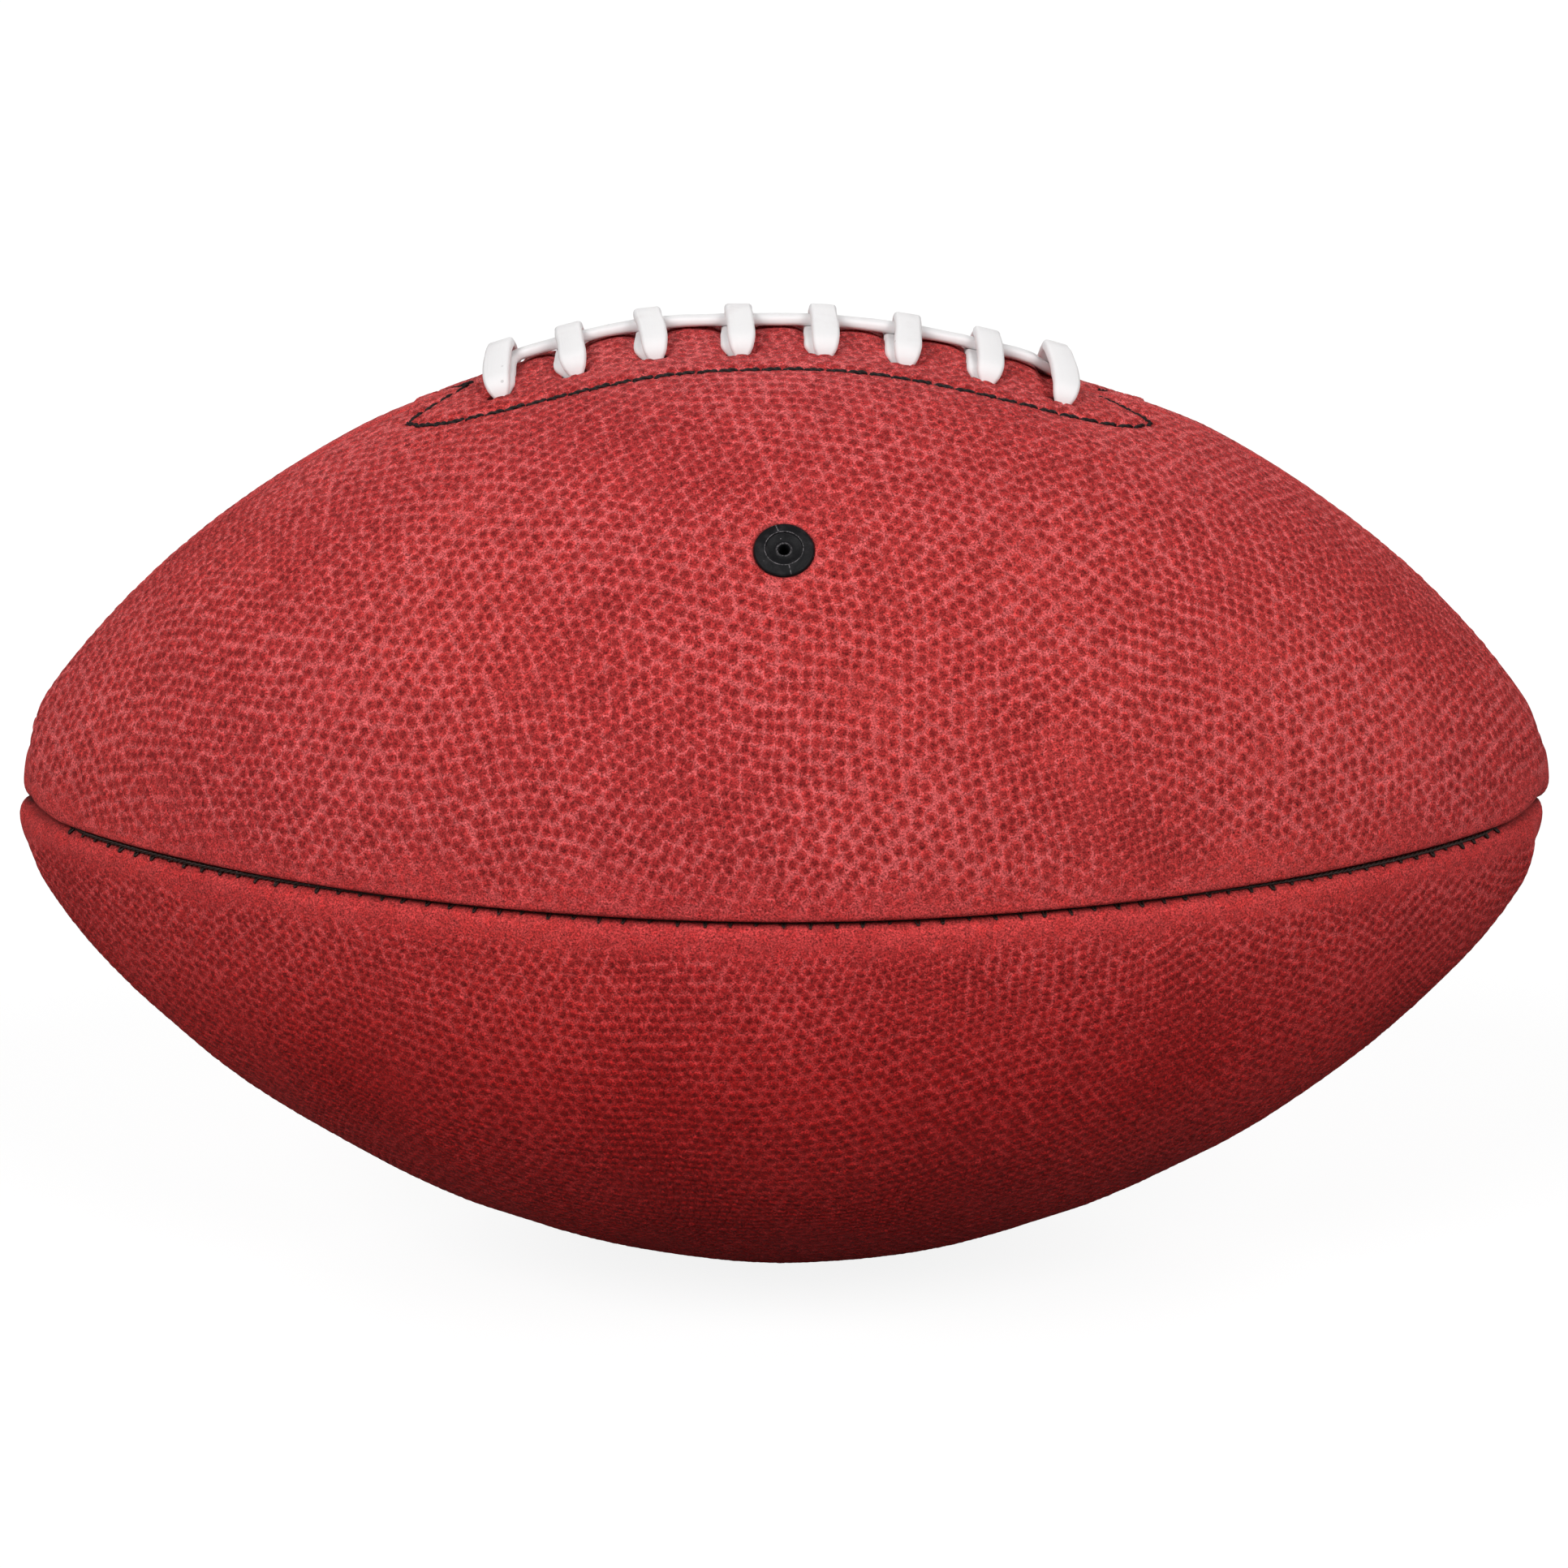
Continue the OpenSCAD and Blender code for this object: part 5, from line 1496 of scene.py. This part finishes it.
def lace_material(colours):
    """Smooth white lace: faint lengthwise lines, soft stains and a few specks."""
    material, tree = blank_material("White Lace")
    here = place_of(tree)
    along, across = value_of(tree, "along"), value_of(tree, "across")
    strip = add(tree, "CombineXYZ", {0: calc(tree, "MULTIPLY", along, 0.05), 1: across, 2: 0.0}).outputs[0]
    streak = noise(tree, strip, *LACE_STREAKS)
    stain = noise(tree, here, *LACE_STAINS)
    speck = use_group(tree, "Dust Specks", Place=here, Scale=520.0, Share=0.66)["Speck"]
    tint = ramp(tree, stain, 0.5, 0.8, 0.0, 0.55)
    colour = mix(tree, tint, colours.lace, colours.lace_stain)
    colour = mix(tree, calc(tree, "MULTIPLY", speck, 0.5), colour, shade_of(colours.lace_stain, 0.6))
    rough = ramp(tree, streak, *BAND_OF_NOISE, 0.42, 0.55)
    height = calc(tree, "MULTIPLY_ADD", streak, 0.7, calc(tree, "MULTIPLY", noise(tree, here, *LACE_GRAIN), 0.3))
    return finish_material(material, colour, rough, height, bump=0.00006, specular=0.15)


def thread_material(name, thread, pale, shine):
    """Waxed thread: fine slanted filaments, worn paler in places."""
    material, tree = blank_material(name)
    here = place_of(tree)
    along = value_of(tree, "along")
    strand = add(tree, "CombineXYZ", {0: calc(tree, "MULTIPLY", along, 0.6), 1: 0.0, 2: 0.0}).outputs[0]
    twist = noise(tree, stretch(tree, here, (1.0, 3.0, 1.0)), *FILAMENTS)
    wave = noise(tree, strand, *THREAD_WAVES)
    worn = calc(tree, "MULTIPLY", ramp(tree, twist, 0.55, 0.75), ramp(tree, wave, 0.4, 0.7, 0.2, 0.8))
    speck = use_group(tree, "Dust Specks", Place=here, Scale=900.0, Share=0.6)["Speck"]
    colour = mix(tree, calc(tree, "MAXIMUM", worn, calc(tree, "MULTIPLY", speck, 0.7)), thread, pale)
    height = calc(tree, "MULTIPLY_ADD", wave, 0.2, twist)
    rough = ramp(tree, twist, *BAND_OF_NOISE, shine, shine + 0.2)
    return finish_material(material, colour, rough, height, bump=0.00008, specular=0.25)


def rubber_material(name, rubber, pale, dusty):
    """Black rubber: fine grain, scattered dust, and pale dust on rings and mould lines where the piece has them."""
    material, tree = blank_material(name)
    here = place_of(tree)
    grain = noise(tree, here, *RUBBER_GRAIN)
    smear = noise(tree, here, *RUBBER_SMEARS)
    speck = use_group(tree, "Dust Specks", Place=here, Scale=1500.0, Share=0.62)["Speck"]
    dust = calc(tree, "MULTIPLY", speck, 0.55)
    if dusty:
        edge = calc(tree, "MULTIPLY", value_of(tree, "dust"), ramp(tree, grain, 0.42, 0.6, 0.15, 0.9))
        dust = calc(tree, "MAXIMUM", dust, edge)
    dust = calc(tree, "MAXIMUM", dust, ramp(tree, smear, 0.5, 0.8, 0.0, 0.06))
    colour = mix(tree, dust, rubber, pale)
    rough = ramp(tree, smear, *BAND_OF_NOISE, 0.42, 0.56)
    return finish_material(material, colour, rough, grain, bump=0.00005, specular=0.1)


# Threads of the lining: their step along the ball in metres, and how often they repeat per radian round it
WEAVE_STEP = 0.0009
WEAVE_TURNS = 560.0


def cloth_material(colours):
    """Woven lining: two crossed waves of thread with a little noise."""
    material, tree = blank_material("Woven Lining")
    here = place_of(tree)
    bent = calc(tree, "MULTIPLY", noise(tree, here, *CLOTH_WAVES), 0.4)
    parts = add(tree, "SeparateXYZ", {0: here}).outputs
    warp = calc(tree, "SINE", calc(tree, "MULTIPLY_ADD", parts["X"], TURN / WEAVE_STEP, bent))
    round_ball = calc(tree, "ARCTAN2", parts["Y"], parts["Z"])
    weft = calc(tree, "SINE", calc(tree, "MULTIPLY_ADD", round_ball, WEAVE_TURNS, bent))
    weave = calc(tree, "MULTIPLY", warp, weft)
    colour = mix(tree, ramp(tree, weave, -0.6, 0.8), shade_of(colours.lining, 0.72), colours.lining)
    return finish_material(material, colour, 0.85, weave, bump=0.0002, specular=0.3)


def plain_leather_material(name, leather):
    """Plain inner leather: mottled, with fine grain and short fibres."""
    material, tree = blank_material(name)
    here = place_of(tree)
    fine = use_group(tree, "Fine Fibre", Place=here, Scale=1100.0, Hairs=0.6)
    mottle = noise(tree, here, *MOTTLE)
    colour = mix(tree, ramp(tree, mottle, *BAND_OF_NOISE), shade_of(leather, 0.7), leather)
    colour = mix(tree, calc(tree, "MULTIPLY", fine["Hair"], 0.35), colour, shade_of(leather, 1.8))
    rough = ramp(tree, fine["Grain"], *BAND_OF_NOISE, 0.6, 0.75)
    return finish_material(material, colour, rough, fine["Grain"], bump=0.00015, specular=0.35)


# Settings of the add-on

def length_setting(name, text, size):
    """Length setting in metres, shown in the scene's units."""
    return FloatProperty(name=name, description=text, default=size, min=0.0, unit="LENGTH", subtype="DISTANCE",
                         precision=5)


def colour_setting(name, text, colour):
    """Colour setting in linear light."""
    return FloatVectorProperty(name=name, description=text, default=colour, min=0.0, max=1.0, size=3,
                               subtype="COLOR")


class FootballSizes(bpy.types.PropertyGroup):
    """Sizes of the ball's finer features."""
    pebble_pitch: length_setting("Pebble Pitch", "Distance between the middles of neighbouring pebbles", 0.0023)
    pebble_height: length_setting("Pebble Height", "Height of a full pebble over the leather", 0.0002)
    seam_pitch: length_setting("Seam Pitch", "Distance between the cross threads in the middle of the seams", 0.0044)
    stitch_pitch: length_setting("Stitch Pitch", "Distance between the stitches round the facing", 0.0037)
    lace_width: length_setting("Lace Width", "Width of the lace", 0.0049)
    head_diameter: length_setting("Valve Head", "Diameter of the valve's head", 0.01)
    core_diameter: length_setting("Valve Core", "Diameter of the core in the valve's head", 0.0061)
    needle_diameter: length_setting("Needle Bore", "Diameter of the bore for the inflating needle", 0.002)


class FootballColours(bpy.types.PropertyGroup):
    """Colours of the ball and its surroundings."""
    leather: colour_setting("Leather", "Leather between the pebbles", (0.555, 0.046, 0.047))
    leather_warm: colour_setting("Warm Leather", "Leather in its warmer patches", (0.615, 0.054, 0.050))
    pebble_top: colour_setting("Pebble Tops", "Dark tops of the pebbles", (0.325, 0.017, 0.018))
    leather_line: colour_setting("Leather Lines", "Pale lines between pebbles, and pale fibres", (0.78, 0.134, 0.136))
    lace: colour_setting("Lace", "Lace", (0.80, 0.785, 0.787))
    lace_stain: colour_setting("Lace Stains", "Soft stains and specks on the lace", (0.66, 0.615, 0.615))
    facing_thread: colour_setting("Facing Thread", "Thread round the facing", (0.008, 0.006, 0.006))
    seam_thread: colour_setting("Seam Thread", "Thread in the seams", (0.022, 0.009, 0.007))
    thread_pale: colour_setting("Worn Thread", "Worn and dusty parts of the threads", (0.16, 0.11, 0.10))
    valve: colour_setting("Valve", "Rubber of the valve", (0.008, 0.0078, 0.0088))
    dust: colour_setting("Dust", "Dust on rubber", (0.24, 0.22, 0.23))
    bladder: colour_setting("Bladder", "Rubber of the bladder and its patch", (0.02, 0.02, 0.024))
    lining: colour_setting("Lining", "Woven lining behind the leather", (0.69, 0.66, 0.58))
    tongue: colour_setting("Tongue", "Tongue under the lacing", (0.10, 0.06, 0.05))
    facing: colour_setting("Facing", "Facing behind the lacing holes", (0.12, 0.02, 0.015))
    floor: colour_setting("Floor", "Floor and background", (0.16, 0.16, 0.16))


# Panels: piece, node, side in Y and Z, whether laced and valved, seed, and turn of its rows of pebbles. The pebbles
# of the lower ones lie closer
LOWER_PEBBLES = 0.87
PANELS = (("leather_front_top", "panel_front_top", -1, 1, True, True, 11, 0.30),
          ("leather_back_top", "panel_back_top", 1, 1, True, False, 23, 0.95),
          ("leather_front_bottom", "panel_front_bottom", -1, -1, False, False, 37, 0.12),
          ("leather_back_bottom", "panel_back_bottom", 1, -1, False, False, 53, 0.70))


class FOOTBALL_OT_leather_panels(bpy.types.Operator):
    """Build the four pebbled leather panels"""
    bl_idname = "football.leather_panels"
    bl_label = "Leather Panels"

    def execute(self, context):
        sizes, colours = context.scene.football_sizes, context.scene.football_colours
        material = leather_material(colours, sizes.pebble_pitch)
        for name, node, side_y, side_z, laced, valved, seed, angle in PANELS:
            pitch = sizes.pebble_pitch / MM * (1 if laced else LOWER_PEBBLES)
            points, polygons, values, cells = panel_mesh(
                laced, valved, seed, angle, pitch, sizes.pebble_height / MM, sizes.seam_pitch / MM,
                sizes.head_diameter / MM / 2 + VALVE_CLEAR)
            points = points * (1, side_y, side_z)
            if side_y * side_z < 0:
                cells = np.concatenate([part.reshape(*group.shape, 2)[:, ::-1].reshape(-1, 2)
                                        for part, group in zip(split_like(cells, polygons), polygons)])
                polygons = [group[:, ::-1] for group in polygons]
            place(make_object(name, points, polygons, values, material, cells), "leather", node)
        return {"FINISHED"}


class FOOTBALL_OT_lace(bpy.types.Operator):
    """Build the lace, one strap from end to end"""
    bl_idname = "football.lace"
    bl_label = "Lace"

    def execute(self, context):
        material = lace_material(context.scene.football_colours)
        mesh = lace_mesh(context.scene.football_sizes.lace_width / MM)
        place(make_object("lace_strap", *mesh, material), "lace", "lace")
        return {"FINISHED"}


class FOOTBALL_OT_facing_stitches(bpy.types.Operator):
    """Build the stitches round the facing"""
    bl_idname = "football.facing_stitches"
    bl_label = "Facing Stitches"

    def execute(self, context):
        colours = context.scene.football_colours
        material = thread_material("Facing Thread", colours.facing_thread, colours.thread_pale, 0.42)
        for name, node, side_y, seed in (("stitches_front", "facing_stitch_front", -1, PANELS[0][6]),
                                         ("stitches_back", "facing_stitch_back", 1, PANELS[1][6])):
            mesh = facing_stitch_mesh(context.scene.football_sizes.stitch_pitch / MM, side_y, seed)
            place(make_object(name, *mesh, material), "facing_thread", node)
        return {"FINISHED"}


# Seams: piece, node, first and last place, whether it lies along the lacing, turn round the ball from the top, and
# the way that its loops lean
SEAMS = (("thread_front", "seam_thread_front", -SEAM_REACH, SEAM_REACH, False, math.pi / 2, 1),
         ("thread_back", "seam_thread_back", -SEAM_REACH, SEAM_REACH, False, -math.pi / 2, -1),
         ("thread_bottom", "seam_thread_bottom", -SEAM_REACH, SEAM_REACH, False, math.pi, 0),
         ("thread_lacing_left", "seam_thread_lacing_left", -SEAM_REACH, -LACING_SEAM_FROM, True, 0.0, 0),
         ("thread_lacing_right", "seam_thread_lacing_right", LACING_SEAM_FROM, SEAM_REACH, True, 0.0, 0))


class FOOTBALL_OT_seam_threads(bpy.types.Operator):
    """Build the threads in the seams between the panels"""
    bl_idname = "football.seam_threads"
    bl_label = "Seam Threads"

    def execute(self, context):
        colours = context.scene.football_colours
        material = thread_material("Seam Thread", colours.seam_thread, colours.thread_pale, 0.35)
        pitch = context.scene.football_sizes.seam_pitch / MM
        for number, (name, node, start, end, laced, turn, lean_way) in enumerate(SEAMS):
            mesh = seam_thread_mesh(start, end, pitch, laced, turn, lean_way, THREAD_SEED + number)
            place(make_object(name, *mesh, material), "seam_thread", node)
        return {"FINISHED"}


class FOOTBALL_OT_valve(bpy.types.Operator):
    """Build the valve's stem and core"""
    bl_idname = "football.valve"
    bl_label = "Valve"

    def execute(self, context):
        sizes, colours = context.scene.football_sizes, context.scene.football_colours
        material = rubber_material("Valve Rubber", colours.valve, colours.dust, True)
        head, core, needle = (size / MM for size in (sizes.head_diameter, sizes.core_diameter,
                                                     sizes.needle_diameter))
        place(make_object("valve_head", *stem_mesh(head, core), material), "valve_rubber", "valve_stem")
        place(make_object("valve_plug", *core_mesh(core, needle), material), "valve_rubber", "valve_core")
        return {"FINISHED"}


class FOOTBALL_OT_inner_parts(bpy.types.Operator):
    """Give the inner parts their materials: linings, bladder and patch, tongue and facings"""
    bl_idname = "football.inner_parts"
    bl_label = "Inner Parts"

    def execute(self, context):
        colours = context.scene.football_colours
        cloth = cloth_material(colours)
        rubber = rubber_material("Bladder Rubber", colours.bladder, colours.dust, False)
        tongue = plain_leather_material("Tongue Leather", colours.tongue)
        facing = plain_leather_material("Facing Leather", colours.facing)
        finishes = {"bladder": rubber, "valve_patch": rubber, "tongue": tongue, "facing_front": facing,
                    "facing_back": facing}
        for name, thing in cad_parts.items():
            material = cloth if name.startswith("lining_") else finishes.get(name)
            if material:
                for slot in thing.material_slots:
                    slot.material = material
        return {"FINISHED"}


# Stage: the floor's half size and distance under the ball in metres, its own glow, the world's light, the width of
# the lamps in degrees, each lamp's name, direction, height, power and whether it gives highlights, and the camera
FLOOR_HALF = 8.0
FLOOR_GAP = 0.0003
FLOOR_GLOW = 0.87
WORLD_LIGHT = 0.13
SOFTNESS = 35.0
LIGHTS = (("left", -45.0, 35.0, 2.2, True), ("right", 45.0, 35.0, 1.95, True),
          ("behind", 180.0, 22.0, 1.7, False))
CAMERA_PLACE = (0.0, -0.67662, 0.17939)
CAMERA_TILT = 75.15
CAMERA_LENS = 87.58
CAMERA_SENSOR = 36.0
CAMERA_SHIFT = 0.0026
CAMERA_CLIP = (0.01, 60.0)


def soft_light(name, turn, rise, power, mirrored):
    """Wide distant lamp: turn is its direction round the ball in degrees, from the camera's side to the right, and
    rise its height in degrees. A lamp that isn't mirrored gives no highlights."""
    data = bpy.data.lights.new(name, "SUN")
    data.angle = math.radians(SOFTNESS)
    data.energy = power
    lamp = bpy.data.objects.new(name, data)
    lamp.rotation_euler = (math.radians(90 - rise), 0.0, math.radians(turn))
    lamp.visible_glossy = mirrored
    bpy.context.scene.collection.objects.link(lamp)


def seen_rays(tree):
    """1 for camera and transmission rays, and 0 for the light on the object."""
    path = add(tree, "LightPath").outputs
    return calc(tree, "MAXIMUM", path["Is Camera Ray"], path["Is Transmission Ray"])


class FOOTBALL_OT_stage(bpy.types.Operator):
    """Set up the floor, the soft studio light and the camera"""
    bl_idname = "football.stage"
    bl_label = "Stage"

    def execute(self, context):
        scene = context.scene
        floor_z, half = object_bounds()[0].z - FLOOR_GAP, FLOOR_HALF
        mesh = bpy.data.meshes.new("floor")
        mesh.from_pydata([(-half, -half, floor_z), (half, -half, floor_z), (half, half, floor_z),
                          (-half, half, floor_z)], [], [(0, 1, 2, 3)])
        floor = bpy.data.objects.new("floor", mesh)
        scene.collection.objects.link(floor)
        material, tree = blank_material("Pale Floor")
        matte = add(tree, "BsdfDiffuse", {"Color": (*scene.football_colours.floor, 1)})
        glow = add(tree, "Emission", {"Color": (1, 1, 1, 1),
                                      "Strength": calc(tree, "MULTIPLY", seen_rays(tree), FLOOR_GLOW)})
        both = add(tree, "AddShader", {0: matte.outputs[0], 1: glow.outputs[0]})
        add(tree, "OutputMaterial", {0: both.outputs[0]})
        mesh.materials.append(material)
        floor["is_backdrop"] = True

        world = bpy.data.worlds.new("Studio")
        world.use_nodes = True
        tree = world.node_tree
        tree.nodes.clear()
        strength = calc(tree, "MULTIPLY_ADD", seen_rays(tree), 1.0 - WORLD_LIGHT, WORLD_LIGHT)
        sky = add(tree, "Background", {"Color": (1, 1, 1, 1), "Strength": strength})
        add(tree, "OutputWorld", {0: sky.outputs[0]})
        scene.world = world

        for light in LIGHTS:
            soft_light(*light)

        data = bpy.data.cameras.new("camera")
        data.lens = CAMERA_LENS
        data.sensor_width = CAMERA_SENSOR
        data.shift_y = CAMERA_SHIFT
        data.clip_start, data.clip_end = CAMERA_CLIP
        camera = bpy.data.objects.new("camera", data)
        camera.location = CAMERA_PLACE
        camera.rotation_euler = (math.radians(CAMERA_TILT), 0.0, 0.0)
        scene.collection.objects.link(camera)
        scene.camera = camera
        scene.view_settings.view_transform = "Standard"
        return {"FINISHED"}


class FOOTBALL_PT_panel(bpy.types.Panel):
    """Sizes, colours and steps of the ball"""
    bl_label = "Football"
    bl_space_type = "VIEW_3D"
    bl_region_type = "UI"
    bl_category = "Football"

    def draw(self, context):
        for step in STEPS:
            self.layout.operator(step.bl_idname)
        for group in (context.scene.football_sizes, context.scene.football_colours):
            for key in group.__annotations__:
                self.layout.prop(group, key)


STEPS = (FOOTBALL_OT_stage, FOOTBALL_OT_inner_parts, FOOTBALL_OT_leather_panels, FOOTBALL_OT_lace,
         FOOTBALL_OT_facing_stitches, FOOTBALL_OT_seam_threads, FOOTBALL_OT_valve)
CLASSES = (FootballSizes, FootballColours) + STEPS + (FOOTBALL_PT_panel,)


def register():
    """Registers the classes and their settings."""
    for cls in CLASSES:
        bpy.utils.register_class(cls)
    bpy.types.Scene.football_sizes = PointerProperty(type=FootballSizes)
    bpy.types.Scene.football_colours = PointerProperty(type=FootballColours)


def unregister():
    """Removes the settings and classes again."""
    del bpy.types.Scene.football_sizes
    del bpy.types.Scene.football_colours
    for cls in reversed(CLASSES):
        bpy.utils.unregister_class(cls)


def main():
    """Runs every step in order."""
    register()
    bpy.ops.football.stage()
    bpy.ops.football.inner_parts()
    bpy.ops.football.leather_panels()
    bpy.ops.football.lace()
    bpy.ops.football.facing_stitches()
    bpy.ops.football.seam_threads()
    bpy.ops.football.valve()


if __name__ == "__main__":
    main()
